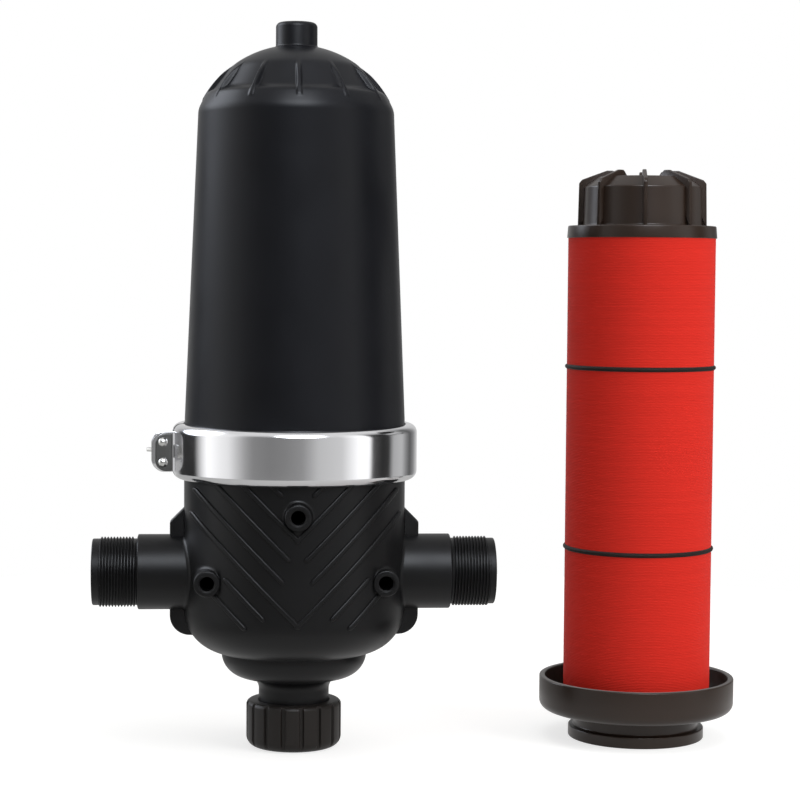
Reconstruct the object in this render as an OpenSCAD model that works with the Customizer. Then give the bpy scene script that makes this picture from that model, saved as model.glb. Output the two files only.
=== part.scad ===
// Irrigation disc filter: a black moulded housing held shut by a steel band clamp,
// with its disc cartridge taken out and standing beside it.
// Millimetres, +Z up. The origin is on the housing's axis, on the floor under the drain cap.
// The ports point along X and the pressure taps face -Y.

/* [Ports] */
// Outside diameter of the pipe thread on each port
port_thread_d = 59.6; // [48:0.1:62]
// Diameter of the smooth tube behind the thread
port_tube_d = 64; // [63:0.5:72]
// Bore of each port
port_bore_d = 50; // [36:1:52]
// Distance between the two port ends
port_span = 343; // [320:1:400]
// Length of the threaded stretch
thread_len = 29; // [20:0.5:34]
// Length of the plain tip in front of the thread
tip_len = 8; // [4:0.5:12]
// Height of the port axis above the floor
port_z = 150; // [146:1:160]

/* [Pressure taps] */
// Outside diameter of a tap boss
tap_d = 22; // [19:0.5:26]
// Tapping bore of a tap
tap_bore_d = 12; // [8:0.2:13]
// Diameter of the chamfered mouth of a tap
tap_mouth_d = 14.4; // [13.6:0.2:17]
// Height of the middle tap
top_tap_z = 207; // [200:1:212]
// How far the middle tap stands out of the wall
top_tap_out = 9; // [5:0.5:14]
// Distance of a side tap from the middle
side_tap_x = 74; // [68:0.5:76]
// How far a side tap stands out of the wall on its own line
side_tap_out = 13; // [9:0.5:18]

/* [Body] */
// Outside diameter of the body
body_d = 188.2; // [184:0.2:192]
// Wall of the body
body_wall = 4; // [3:0.1:5]
// Height of the joint between body and cover
joint_z = 254; // [250:1:262]
// Outer radius of the rounding at the bottom of the bowl
bowl_round = 36; // [30:1:40]
// Outside diameter of the sump below the bowl
sump_d = 124; // [120:1:128]
// Outside diameter of the drain neck
neck_d = 60; // [56:0.5:62]
// Bore of the drain neck
drain_bore_d = 48; // [36:1:50]
// Length of neck that shows above the drain cap
neck_show = 9.4; // [6:0.2:16]
// Fillet between neck and sump
neck_fillet = 11.2; // [8:0.2:13]
// Thickness of the webs above and below the ports
web_t = 14; // [10:1:20]
// How far the webs reach from the axis
web_reach = 106; // [102:1:112]
// Height at which the upper webs leave the wall
web_top_z = 205; // [200:1:214]
// How far the body's flange stands out of its rim
body_flange_w = 7.8; // [6.4:0.1:9]

/* [Chevron ribs] */
// Width of a chevron rib
rib_w = 4.2; // [3:0.1:6]
// Height of a chevron rib
rib_h = 1.7; // [0.8:0.1:2.4]
// Distance from one chevron to the next
rib_pitch = 23.4; // [22:0.1:25]
// Height where the uppermost chevron would meet its mirror image
rib_first_z = 211; // [208:0.5:214]

/* [Cover] */
// Radius of the cover where the band holds it
cover_low_r = 93.6; // [91:0.1:94]
// Radius of the cover at its shoulder
cover_top_r = 82.8; // [80:0.1:86]
// Wall of the cover
cover_wall = 4; // [3:0.1:5]
// How far the cover's flange stands out of its rim
cover_flange_w = 8.3; // [7.6:0.1:9.4]
// Height of the top of the dome
dome_top_z = 597; // [590:1:606]
// Radius of the dome
dome_r = 89.5; // [88:0.5:96]
// Rounding between dome and side
shoulder_round = 12; // [8:1:16]
// Number of ribs across the pockets of the dome
dome_ribs = 12; // [8:1:16]
// Thickness of a dome rib
dome_rib_t = 3.2; // [2:0.1:5]
// Depth of the pockets between the dome ribs
pocket_depth = 3.8; // [2.5:0.1:4.2]
// Radius of the nub on top
nub_r = 17.6; // [14:0.2:22]
// Height of the nub above the dome
nub_h = 19; // [14:0.5:26]

/* [Band clamp] */
// Outside radius of the band
band_r = 104; // [102.5:0.1:106]
// Height of the band
band_h = 46.5; // [44:0.5:50]
// Thickness of the band's sheet
band_t = 1.5; // [1:0.1:2]
// Rounding of the band's lips
band_round = 7; // [5:0.5:9]
// Gap between the two ends of the band
band_gap = 6; // [4:0.5:9]
// Direction of the closure, seen from above
closure_angle = 188; // [180:1:200]
// Height of a lug
lug_h = 34; // [30:0.5:38]
// Thickness of a lug
lug_t = 5.5; // [5:0.1:7]
// How far a lug reaches out of the band
lug_reach = 18; // [17:0.5:22]
// Rounding of a lug's outer corners
lug_round = 10; // [6:0.5:12]
// Diameter of the clamp bolt
bolt_d = 6; // [5:0.1:7]
// Distance of the bolt from the band
bolt_out = 9.6; // [9.4:0.1:10.6]
// Span of the wing nut
wing_span = 21; // [18:0.2:21.4]
// Distance between the two rivets of a lug
rivet_gap = 17; // [16:0.2:20]
// Diameter of a rivet's head
rivet_head_d = 7.8; // [6.6:0.1:8]
// Height of a rivet's head
rivet_head_h = 2.2; // [1.6:0.1:2.6]

/* [Drain cap] */
// Height of the drain cap
cap_h = 39.8; // [34:0.2:46]
// Outside radius of the drain cap
cap_r = 40.6; // [38:0.2:46]
// Rounding under the drain cap
cap_round = 9; // [6:0.5:10]
// Thickness of the drain cap's floor
cap_floor = 7; // [5:0.5:9]
// Number of grip grooves
cap_grooves = 16; // [10:1:20]
// Width of a grip groove
groove_w = 3.4; // [2:0.2:5]
// Depth of a grip groove
groove_depth = 2; // [1:0.1:2.6]
// Thickness of the flat gasket in the cap
gasket_t = 3; // [2:0.5:4]

/* [Cartridge] */
// Where the cartridge stands, along X
cartridge_x = 302; // [280:1:330]
// Where the cartridge stands, along Y
cartridge_y = 25; // [0:1:40]
// Outside radius of the discs
disc_r = 64; // [62:0.5:66]
// Length of the disc stack
stack_h = 404; // [396:1:408]
// Height of the lowest run of discs
lower_run_h = 132.4; // [120:0.1:145]
// Height of the run of discs between the two rings
middle_run_h = 154.2; // [140:0.1:170]
// Outside radius of the spine that carries the discs
spine_r = 50; // [46:0.5:52]
// Wall of the spine
spine_wall = 5; // [4:0.5:7]
// Outside radius of the dish
dish_r = 85; // [80:0.5:86]
// Height of the dish's rim above its floor
dish_rim_h = 20.5; // [14:0.5:24]
// Thickness of the dish's rim
dish_wall = 5; // [4:0.5:7]
// Thickness of the dish's floor
dish_floor = 9; // [8:0.5:11]
// Rounding under the dish
dish_round = 8; // [5:0.5:8]
// Outside radius of the collar
collar_r = 59.3; // [57.5:0.1:60]
// Height of the collar
collar_h = 10; // [8:0.5:12]
// Radius of the neck between collar and dish
collar_neck_r = 54.5; // [53:0.5:56]
// Height of the neck between collar and dish
collar_neck_h = 14; // [10:0.5:16]
// Thickness of the rings round the stack
ring_t = 3.8; // [2:0.1:5]
// How far the rings stand out of the discs
ring_proud = 1.6; // [0.5:0.1:2]

/* [Knob] */
// Radius of the knob's flange
knob_flange_r = 65; // [64:0.5:68]
// Thickness of the knob's flange
knob_flange_t = 10.5; // [8:0.5:12]
// Radius of the knob
knob_r = 51.5; // [48:0.5:54]
// Height of the knob above its flange
knob_h = 42.6; // [38:0.5:45]
// Height of the bevelled shoulder of the knob
knob_bevel = 9; // [6:0.5:12]
// Number of grip ribs
knob_ribs = 8; // [6:1:10]
// Thickness of a grip rib
knob_rib_t = 3.4; // [2.5:0.1:5]
// How far a grip rib stands out of the knob
knob_rib_out = 3.6; // [2:0.2:5]
// How far a grip rib stands above the knob
knob_rib_up = 5.4; // [3:0.2:7]
// Direction of the first grip rib, seen from above
knob_rib_angle = 262; // [250:1:275]

/* [Hidden] */
$fn = 96;

// Clearance between pieces that slide, screw or seat
clear = 0.3;
// Overrun of a cutting solid
over = 1;
// Edge break of moulded edges
edge = 1.2;

// Body, from the drain cap upwards
body_r = body_d / 2;
body_in_r = body_r - body_wall;
neck_r = neck_d / 2;
neck_end_z = cap_floor + gasket_t + clear;
sump_r = sump_d / 2;
sump_z = cap_h + neck_show + neck_fillet;
sump_round = sump_r - neck_r - neck_fillet;
sump_in_r = sump_r - body_wall;
step_rise = 1;
bowl_z = sump_z + sump_round + step_rise;
bowl_c = [body_r - bowl_round, bowl_z + bowl_round];
seat_t = 2.6;
seat_z = bowl_z + body_wall - 1.2;
seat_reach = 6;

// Flanges of body and cover under the band
seal_d = 4.4;
seal_groove_w = 5;
seal_groove_depth = 4.3;
joint_gap = 0.2;
lip_gap = 0.5;
band_mid_z = joint_z + joint_gap / 2;
band_low_z = band_mid_z - band_h / 2;
band_high_z = band_mid_z + band_h / 2;
flange_r = band_r - band_t - 2 * clear;
flange_low_z = band_low_z + band_t + clear;
flange_high_z = band_high_z - band_t - clear;
flange_chamfer = band_round - 1;
cover_z = joint_z + joint_gap;
rim_r = flange_r - body_flange_w;
rim_in_r = rim_r - body_wall;
cover_rim_r = flange_r - cover_flange_w;
cover_rim_in_r = cover_rim_r - cover_wall;
lip_r = max(rim_r, cover_rim_r) + lip_gap;

// Where body and cover pass from their own radius to that of their rim, clear of the band's lips
rim_step = 4;
rim_low_z = band_low_z - clear - rim_step;
rim_high_z = band_high_z + clear;
rim_in_low_z = rim_low_z + body_wall * sign(rim_r - body_r);
rim_in_high_z = rim_high_z + cover_wall * sign(cover_low_r - cover_rim_r);

// Seal between body and cover
seal_r = (rim_in_r + flange_r) / 2 - 1;

// Cover and dome
dome_c_z = dome_top_z - dome_r;
round_c_r = cover_top_r - shoulder_round;
// The rounding touches the dome from inside, or a short cone joins them where it can't
round_c_rise = sqrt(max(0, pow(dome_r - shoulder_round, 2) - pow(round_c_r, 2)));
round_c = [round_c_r, dome_c_z + round_c_rise];
round_c_way = norm([round_c_r, round_c_rise]);
round_angle = atan2(round_c_rise, round_c_r)
  + acos(min(1, (dome_r - shoulder_round) / round_c_way));
dome_in_r = dome_r - 9.5;
dome_in_z = dome_top_z - cover_wall - 1 - dome_in_r;
pocket_in_r = 53;
pocket_out_r = 74.4;
pocket_low_z = dome_c_z + sqrt(pow(dome_r, 2) - pow(pocket_out_r, 2));
pocket_high_z = dome_c_z + sqrt(pow(dome_r, 2) - pow(pocket_in_r, 2));
dome_rib_reach = 80;
dome_rib_proud = 0.7;

// Ports
thread_r = port_thread_d / 2;
tube_r = port_tube_d / 2;
port_end = port_span / 2;
thread_end = port_end - tip_len;
thread_start = thread_end - thread_len;
tip_r = thread_r - 1.5;

// Closure of the band, in a frame whose X points out of the closure and Y to the front
lug_mid_z = band_mid_z;
bolt_r = band_r + bolt_out;
tab_y = band_gap / 2;
lug_y = tab_y + band_t;
lug_face_y = lug_y + lug_t;
lug_in_r = band_r + 0.4;
lug_out_r = band_r + lug_reach;
rivet_d = 4;
head_w = 11;
head_t = 2.6;
washer_t = 1.6;
washer_r = 6.4;
nut_len = 9.5;
nut_r = 5.4;
wing_t = 3;
wing_root = 2.6;
bolt_spare = 12;
bolt_end_y = -(lug_face_y + clear + washer_t + nut_len + bolt_spare);

// Cartridge, from the floor upwards
base_bore_r = spine_r - spine_wall;
dish_z = collar_h + collar_neck_h;
stack_z = dish_z + dish_floor;
spine_seat = 4;
spine_foot_z = stack_z - spine_seat;
ring_seat = 1.6;
run_h = [lower_run_h, middle_run_h, stack_h - lower_run_h - middle_run_h - 2 * ring_t];
run_z = [
  stack_z,
  stack_z + lower_run_h + ring_t,
  stack_z + lower_run_h + middle_run_h + 2 * ring_t
];
knob_z = stack_z + stack_h + clear;
post_r = 15;
post_h = 38;
spine_top_t = 8;
spine_slots = 6;
slot_w = 22;
slot_margin = 26;
top_seal_t = 2;
top_seal_in_r = spine_r + 2;
top_seal_out_r = disc_r - 4;
knob_wall = 5;
knob_top_z = knob_z + knob_flange_t + knob_h;

// Points of an arc about a centre, from one angle to another
function arc(c, r, from, to, steps = 12) = [
  for (i = [0:steps])
    let (a = from + (to - from) * i / steps)
    c + r * [cos(a), sin(a)]
];

module at_closure() {
  rotate([0, 0, closure_angle]) children();
}

module at_cartridge() {
  translate([cartridge_x, cartridge_y, 0]) children();
}

// A cylinder along Y between two distances from the XZ plane
module along_y(r, from, to) {
  translate([0, from, 0]) rotate([-90, 0, 0]) cylinder(r = r, h = to - from);
}

// A ring with a rectangular section
module flat_ring(r_in, r_out, z, h) {
  translate([0, 0, z])
    difference() {
      cylinder(r = r_out, h = h);
      translate([0, 0, -over]) cylinder(r = r_in, h = h + 2 * over);
    }
}

// Body
module body_outside() {
  rotate_extrude()
    polygon(concat(
      [[0, neck_end_z], [neck_r - edge, neck_end_z], [neck_r, neck_end_z + edge]],
      arc([neck_r + neck_fillet, sump_z - neck_fillet], neck_fillet, 180, 90),
      arc([sump_r - sump_round, sump_z + sump_round], sump_round, -90, 0),
      arc(bowl_c, bowl_round, -acos((sump_r - bowl_c[0]) / bowl_round), 0),
      [[body_r, rim_low_z], [rim_r, rim_low_z + rim_step], [rim_r, flange_low_z]],
      [[flange_r - flange_chamfer, flange_low_z]],
      [[flange_r, flange_low_z + flange_chamfer], [flange_r, joint_z], [0, joint_z]]
    ));
}

module body_inside() {
  bowl_in = bowl_round - body_wall;
  seat_out_r = sump_in_r + seat_reach;
  rotate_extrude()
    polygon(concat(
      [[0, neck_end_z - over], [drain_bore_d / 2, neck_end_z - over]],
      [[drain_bore_d / 2, sump_z + body_wall]],
      arc([sump_r - sump_round, sump_z + sump_round], sump_round - body_wall, -90, 0, 8),
      [[sump_in_r, seat_z], [seat_out_r, seat_z]],
      arc(bowl_c, bowl_in, -acos((seat_out_r - bowl_c[0]) / bowl_in), 0),
      [[body_in_r, rim_in_low_z], [rim_in_r, rim_in_low_z + rim_step]],
      [[rim_in_r, joint_z + over], [0, joint_z + over]]
    ));
}

module port_outside() {
  rotate([0, 90, 0])
    rotate_extrude()
      polygon([
        [0, 0], [tube_r, 0], [tube_r, thread_start - 3], [thread_r, thread_start],
        [thread_r, thread_end], [tip_r, thread_end + 1], [tip_r, port_end - edge],
        [tip_r - edge, port_end], [0, port_end]
      ]);
}

module port_bore() {
  translate([body_in_r - 20, 0, 0])
    rotate([0, 90, 0]) cylinder(d = port_bore_d, h = port_end);
}

// Upright web above and below a port
module port_web() {
  web_round = 17;
  web_drop = 22;
  web_low_z = bowl_c[1] - web_drop;
  translate([0, web_t / 2, 0])
    rotate([90, 0, 0])
      linear_extrude(web_t)
        polygon(concat(
          [[sump_r, web_low_z]],
          arc([web_reach - web_round, web_low_z + web_round], web_round, -90, 0, 8),
          [[web_reach, web_top_z - (web_reach - body_r)], [body_r, web_top_z]],
          [[sump_r, web_top_z]]
        ));
}

function wall_y(x) = -sqrt(pow(body_r, 2) - pow(x, 2));

// A boss runs from its face into the wall; the cavity cuts its inner end flush
module tap_boss(x, z, out) {
  translate([x, 0, z]) along_y(tap_d / 2, wall_y(x) - out, wall_y(x) / 2);
}

module tap_bore(x, z, out) {
  face = wall_y(x) - out;
  mouth = (tap_mouth_d - tap_bore_d) / 2;
  translate([x, 0, z]) along_y(tap_bore_d / 2, face - over, 0);
  translate([x, face, z])
    rotate([-90, 0, 0])
      cylinder(r1 = tap_mouth_d / 2, r2 = tap_bore_d / 2, h = mouth);
}

// One arm of a chevron: it rises from the middle outwards at 45 degrees
module rib_arm(apex_z, x_in, x_out) {
  run = (x_out - x_in) * sqrt(2);
  translate([x_in, -body_r - 2 * rib_h, apex_z + x_in])
    rotate([0, -45, 0])
      translate([0, 0, -rib_w / 2]) cube([run, body_r, rib_w]);
}

module chevron_ribs() {
  // inner and outer end of each chevron's arms, from the uppermost chevron down
  reach = [[14, 25], [0, 49], [8, 69], [13, 83], [0, 86], [29, 58], [44, 70]];
  intersection() {
    union()
      for (i = [0:len(reach) - 1])
        for (side = [0, 1])
          mirror([side, 0, 0]) rib_arm(rib_first_z - i * rib_pitch, reach[i][0], reach[i][1]);
    rotate_extrude()
      polygon(concat(
        [[0, bowl_z - rib_h]],
        arc(bowl_c, bowl_round + rib_h, -90, 0),
        [[body_r + rib_h, flange_low_z - rib_w], [0, flange_low_z - rib_w]]
      ));
  }
}

module filter_body() {
  side_tap_z = port_z - 1;
  color("#26272a")
    difference() {
      union() {
        body_outside();
        chevron_ribs();
        for (side = [0, 1]) {
          mirror([side, 0, 0]) translate([0, 0, port_z]) port_outside();
          mirror([side, 0, 0]) port_web();
          mirror([side, 0, 0]) tap_boss(side_tap_x, side_tap_z, side_tap_out);
        }
        tap_boss(0, top_tap_z, top_tap_out);
      }
      body_inside();
      for (side = [0, 1]) {
        mirror([side, 0, 0]) translate([0, 0, port_z]) port_bore();
        mirror([side, 0, 0]) tap_bore(side_tap_x, side_tap_z, side_tap_out);
      }
      tap_bore(0, top_tap_z, top_tap_out);
      flat_ring(seal_r - seal_groove_w / 2, seal_r + seal_groove_w / 2,
        joint_z - seal_groove_depth, seal_groove_depth + over);
    }
}

// Cover
module cover_outside() {
  rotate_extrude()
    polygon(concat(
      [[0, cover_z], [flange_r, cover_z], [flange_r, flange_high_z - flange_chamfer]],
      [[flange_r - flange_chamfer, flange_high_z], [cover_rim_r, flange_high_z]],
      [[cover_rim_r, rim_high_z], [cover_low_r, rim_high_z + rim_step]],
      arc(round_c, shoulder_round, 0, round_angle, 4),
      arc([0, dome_c_z], dome_r, round_angle, 90, 20)
    ));
}

module cover_inside() {
  side_in_r = cover_top_r - cover_wall;
  side_angle = acos(min(1, side_in_r / dome_in_r));
  rotate_extrude()
    polygon(concat(
      [[0, cover_z - over], [cover_rim_in_r, cover_z - over], [cover_rim_in_r, rim_in_high_z]],
      [[cover_low_r - cover_wall, rim_in_high_z + rim_step]],
      arc([0, dome_in_z], dome_in_r, side_angle, 90, 16)
    ));
}

// Pockets that run round the dome, left standing where the ribs cross them
module dome_pockets() {
  difference() {
    rotate_extrude()
      polygon([
        [pocket_in_r, pocket_high_z], [pocket_out_r - pocket_depth, pocket_low_z],
        [dome_r, pocket_low_z], [dome_r, dome_top_z], [pocket_in_r, dome_top_z]
      ]);
    for (i = [0:dome_ribs - 1])
      rotate([0, 0, 270 + i * 360 / dome_ribs])
        translate([0, -dome_rib_t / 2, dome_c_z])
          cube([dome_r + over, dome_rib_t, dome_r + over]);
  }
}

module dome_rib_tops() {
  intersection() {
    translate([0, 0, dome_c_z]) sphere(r = dome_r + dome_rib_proud);
    for (i = [0:dome_ribs - 1])
      rotate([0, 0, 270 + i * 360 / dome_ribs])
        translate([pocket_in_r, -dome_rib_t / 2, pocket_low_z - 6])
          cube([dome_rib_reach - pocket_in_r, dome_rib_t, dome_r]);
  }
}

module nub() {
  nub_top_z = dome_top_z + nub_h;
  nub_round = 4.5;
  rotate_extrude()
    polygon(concat(
      [[0, dome_top_z - 6], [nub_r + edge, dome_top_z - 6], [nub_r + edge / 2, dome_top_z]],
      arc([nub_r - nub_round, nub_top_z - nub_round], nub_round, 0, 90, 6),
      [[0, nub_top_z]]
    ));
}

module cover() {
  color("#24262a")
    difference() {
      union() {
        difference() {
          cover_outside();
          dome_pockets();
        }
        dome_rib_tops();
        nub();
      }
      cover_inside();
    }
}

module cover_seal() {
  color("#161616")
    translate([0, 0, joint_z - seal_groove_depth + seal_d / 2 + 0.05])
      rotate_extrude()
        translate([seal_r, 0]) circle(d = seal_d);
}

module seat_seal() {
  color("#161616") flat_ring(sump_in_r + clear, sump_in_r + seat_reach - clear, seat_z, seat_t);
}

// Band clamp
module band_section() {
  polygon(concat(
    [[lip_r, band_low_z]],
    arc([band_r - band_round, band_low_z + band_round], band_round, -90, 0, 8),
    arc([band_r - band_round, band_high_z - band_round], band_round, 0, 90, 8),
    [[lip_r, band_high_z], [lip_r, band_high_z - band_t]],
    arc([band_r - band_round, band_high_z - band_round], band_round - band_t, 90, 0, 8),
    arc([band_r - band_round, band_low_z + band_round], band_round - band_t, 0, -90, 8),
    [[lip_r, band_low_z + band_t]]
  ));
}

// Plate of a lug, or of a bent end of the band: outer corners are round
module closure_plate(x_in, x_out, h, corner, y, t) {
  translate([0, y + t, lug_mid_z])
    rotate([90, 0, 0])
      linear_extrude(t)
        polygon(concat(
          [[x_in, -h / 2]],
          arc([x_out - corner, -h / 2 + corner], corner, -90, 0, 8),
          arc([x_out - corner, h / 2 - corner], corner, 0, 90, 8),
          [[x_in, h / 2]]
        ));
}

module rivet_spots() {
  for (side = [-1, 1])
    translate([bolt_r, 0, lug_mid_z + side * rivet_gap / 2]) children();
}

module bolt_hole(from, to) {
  translate([bolt_r, 0, lug_mid_z]) along_y(bolt_d / 2 + clear, from, to);
}

module clamp_band() {
  color("#c9cbce")
    at_closure()
      difference() {
        union() {
          difference() {
            rotate_extrude() band_section();
            translate([rim_in_r, -band_gap / 2, band_low_z - over])
              cube([band_r, band_gap, band_h + 2 * over]);
          }
          for (side = [0, 1])
            mirror([0, side, 0])
              closure_plate(band_r - band_t, lug_out_r, lug_h, lug_round, tab_y, band_t);
        }
        rivet_spots() along_y(rivet_d / 2, -lug_face_y, lug_face_y);
        bolt_hole(-lug_face_y, lug_face_y);
      }
}

module lug_plate() {
  difference() {
    closure_plate(lug_in_r, lug_out_r - 2, lug_h - 2, lug_round - 1, lug_y, lug_t);
    rivet_spots() along_y(rivet_d / 2, 0, lug_face_y + over);
  }
}

module front_lug() {
  color("#565656")
    at_closure()
      difference() {
        lug_plate();
        translate([bolt_r - head_w / 2 - clear, lug_y - over, lug_mid_z - head_w / 2 - clear])
          cube([head_w + 2 * clear, head_t + clear + over, head_w + 2 * clear]);
      }
}

module rear_lug() {
  color("#565656")
    at_closure()
      difference() {
        mirror([0, 1, 0]) lug_plate();
        bolt_hole(-lug_face_y - over, 0);
      }
}

// Rivet with a low domed head at the far end and a flush tail
module rivet(from, to) {
  dome = (pow(rivet_head_d / 2, 2) + pow(rivet_head_h, 2)) / (2 * rivet_head_h);
  along_y(rivet_d / 2, from, to);
  intersection() {
    translate([0, to + rivet_head_h - dome, 0]) sphere(r = dome);
    along_y(rivet_head_d / 2, to, to + rivet_head_h);
  }
}

module front_rivets() {
  color("#d4d4d4") at_closure() rivet_spots() rivet(tab_y, lug_face_y);
}

module rear_rivets() {
  color("#d4d4d4") at_closure() rivet_spots() rivet(-lug_face_y, -tab_y);
}

module clamp_bolt() {
  color("#bfc1c4")
    at_closure()
      translate([bolt_r, 0, lug_mid_z]) {
        along_y(bolt_d / 2, bolt_end_y, lug_y + clear);
        translate([-head_w / 2, lug_y, -head_w / 2]) cube([head_w, head_t, head_w]);
      }
}

module clamp_washer() {
  start = -(lug_face_y + clear + washer_t);
  color("#bfc1c4")
    at_closure()
      translate([bolt_r, 0, lug_mid_z])
        difference() {
          along_y(washer_r, start, start + washer_t);
          along_y(bolt_d / 2 + clear, start - over, 0);
        }
}

module wing_nut() {
  face = -(lug_face_y + 2 * clear + washer_t);
  tip_round = 4;
  color("#c4c6c9")
    at_closure()
      translate([bolt_r, 0, lug_mid_z])
        difference() {
          union() {
            along_y(nut_r, face - nut_len, face);
            for (side = [0, 1])
              mirror([side, 0, 0])
                translate([0, 0, -wing_t / 2])
                  linear_extrude(wing_t)
                    polygon(concat(
                      [[0, face - wing_root], [0, face - nut_len], [nut_r, face - nut_len]],
                      arc([wing_span / 2 - tip_round, face - nut_len - 1], tip_round, -90, 0, 6),
                      [[wing_span / 2, face - nut_len + 2], [nut_r, face - wing_root]]
                    ));
          }
          along_y(bolt_d / 2 + clear, face - nut_len - 4 * over - tip_round, face + over);
        }
}

// Drain
module drain_gasket() {
  color("#161616") flat_ring(drain_bore_d / 2, neck_r - 0.5, cap_floor + clear / 2, gasket_t);
}

module drain_cap() {
  top_round = 4;
  groove_z = cap_round - groove_depth;
  color("#2a2826")
    difference() {
      rotate_extrude()
        polygon(concat(
          [[0, 0]],
          arc([cap_r - cap_round, cap_round], cap_round, -90, 0, 8),
          arc([cap_r - top_round, cap_h - top_round], top_round, 0, 90, 6),
          [[neck_r + clear, cap_h], [neck_r + clear, cap_floor], [0, cap_floor]]
        ));
      for (i = [0:cap_grooves - 1])
        rotate([0, 0, 270 + (i + 0.35) * 360 / cap_grooves])
          translate([cap_r - groove_depth, -groove_w / 2, groove_z])
            cube([groove_depth + over, groove_w, cap_h]);
    }
}

// Cartridge
module cartridge_base() {
  rim_z = stack_z + dish_rim_h;
  rim_round = 2;
  color("#342c28")
    at_cartridge()
      rotate_extrude()
        polygon(concat(
          [[base_bore_r, 0], [collar_r - 2 * edge, 0], [collar_r, 2 * edge]],
          [[collar_r, collar_h - edge], [collar_r - edge, collar_h], [collar_neck_r, collar_h]],
          [[collar_neck_r, dish_z]],
          arc([dish_r - dish_round, dish_z + dish_round], dish_round, -90, 0, 8),
          arc([dish_r - rim_round, rim_z - rim_round], rim_round, 0, 90, 4),
          [[dish_r - dish_wall + edge / 2, rim_z], [dish_r - dish_wall, rim_z - edge / 2]],
          [[dish_r - dish_wall, stack_z], [spine_r + clear, stack_z]],
          [[spine_r + clear, spine_foot_z], [base_bore_r, spine_foot_z]]
        ));
}

// Slotted tube that carries the discs, with a threaded post for the knob
module spine() {
  crown_z = stack_z + stack_h - spine_top_t;
  slot_h = stack_h - 2 * slot_margin;
  color("#342c28")
    at_cartridge()
      difference() {
        rotate_extrude()
          polygon([
            [base_bore_r, spine_foot_z], [spine_r, spine_foot_z],
            [spine_r, crown_z + spine_top_t], [post_r, crown_z + spine_top_t],
            [post_r, crown_z + spine_top_t + post_h - edge],
            [post_r - edge, crown_z + spine_top_t + post_h],
            [0, crown_z + spine_top_t + post_h], [0, crown_z], [base_bore_r, crown_z]
          ]);
        for (i = [0:spine_slots - 1])
          rotate([0, 0, i * 360 / spine_slots])
            translate([base_bore_r - 2 * spine_wall, -slot_w / 2, stack_z + slot_margin])
              cube([4 * spine_wall, slot_w, slot_h]);
      }
}

// One third of the stack: grooved discs pressed into one sleeve
module disc_run(index) {
  color("#c62f29")
    at_cartridge()
      flat_ring(spine_r + clear, disc_r, run_z[index], run_h[index]);
}

module lower_discs() {
  disc_run(0);
}

module middle_discs() {
  disc_run(1);
}

module upper_discs() {
  disc_run(2);
}

// Black ring between two thirds of the stack, with a round outer edge
module stack_ring(index) {
  z = run_z[index] + run_h[index];
  color("#2a2624")
    at_cartridge()
      rotate_extrude()
        polygon(concat(
          [[spine_r + clear, z]],
          arc([disc_r + ring_proud - ring_t / 2, z + ring_t / 2], ring_t / 2, -90, 90, 8),
          [[spine_r + clear, z + ring_t]]
        ));
}

module lower_ring() {
  stack_ring(0);
}

module upper_ring() {
  stack_ring(1);
}

module top_seal() {
  color("#161616")
    at_cartridge()
      flat_ring(top_seal_in_r, top_seal_out_r, knob_z, top_seal_t);
}

// Rib across the knob's side and shoulder, drawn in the plane of its axis
module knob_rib() {
  foot_z = knob_z + knob_flange_t;
  side_z = knob_top_z - knob_bevel + 3.4;
  crest_z = knob_top_z + knob_rib_up;
  out_r = knob_r + knob_rib_out;
  crest_r = 31;
  crest_w = 5.5;
  crest_foot_r = crest_r - 2 * crest_w;
  translate([0, knob_rib_t / 2, 0])
    rotate([90, 0, 0])
      linear_extrude(knob_rib_t)
        polygon([
          [out_r + 0.8, foot_z - over], [out_r, side_z], [out_r - 2.5, side_z + 3],
          [crest_r, crest_z], [crest_r - crest_w, crest_z], [crest_foot_r, knob_top_z - over],
          [knob_r - 2 * knob_wall, knob_top_z - knob_bevel - knob_wall],
          [knob_r - knob_wall, foot_z - over]
        ]);
}

module cartridge_knob() {
  foot_z = knob_z + knob_flange_t;
  seal_top_z = knob_z + top_seal_t + clear;
  top_r = knob_r - 14;
  roof_z = knob_top_z - knob_wall;
  hub_r = post_r + knob_wall;
  color("#342c28")
    at_cartridge() {
      difference() {
        union() {
          rotate_extrude()
            polygon([
              [0, knob_z], [knob_flange_r, knob_z], [knob_flange_r - 0.8, foot_z - edge],
              [knob_flange_r - 0.8 - edge, foot_z], [knob_r, foot_z],
              [knob_r - 0.8, knob_top_z - knob_bevel], [top_r, knob_top_z], [0, knob_top_z]
            ]);
          for (i = [0:knob_ribs - 1])
            rotate([0, 0, knob_rib_angle + i * 360 / knob_ribs]) knob_rib();
        }
        rotate_extrude()
          polygon([
            [hub_r, knob_z - over], [knob_r - knob_wall, knob_z - over],
            [knob_r - knob_wall - 0.8, roof_z - knob_bevel], [top_r - 2, roof_z],
            [hub_r, roof_z]
          ]);
        translate([0, 0, knob_z - over])
          cylinder(r = post_r + clear, h = post_h + over + clear);
        flat_ring(top_seal_in_r - clear, top_seal_out_r + clear,
          knob_z - over, seal_top_z - knob_z + over);
      }
    }
}

filter_body();
cover();
cover_seal();
seat_seal();
clamp_band();
front_lug();
rear_lug();
front_rivets();
rear_rivets();
clamp_bolt();
clamp_washer();
wing_nut();
drain_gasket();
drain_cap();
cartridge_base();
spine();
lower_discs();
middle_discs();
upper_discs();
lower_ring();
upper_ring();
top_seal();
cartridge_knob();
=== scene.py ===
import math

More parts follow.
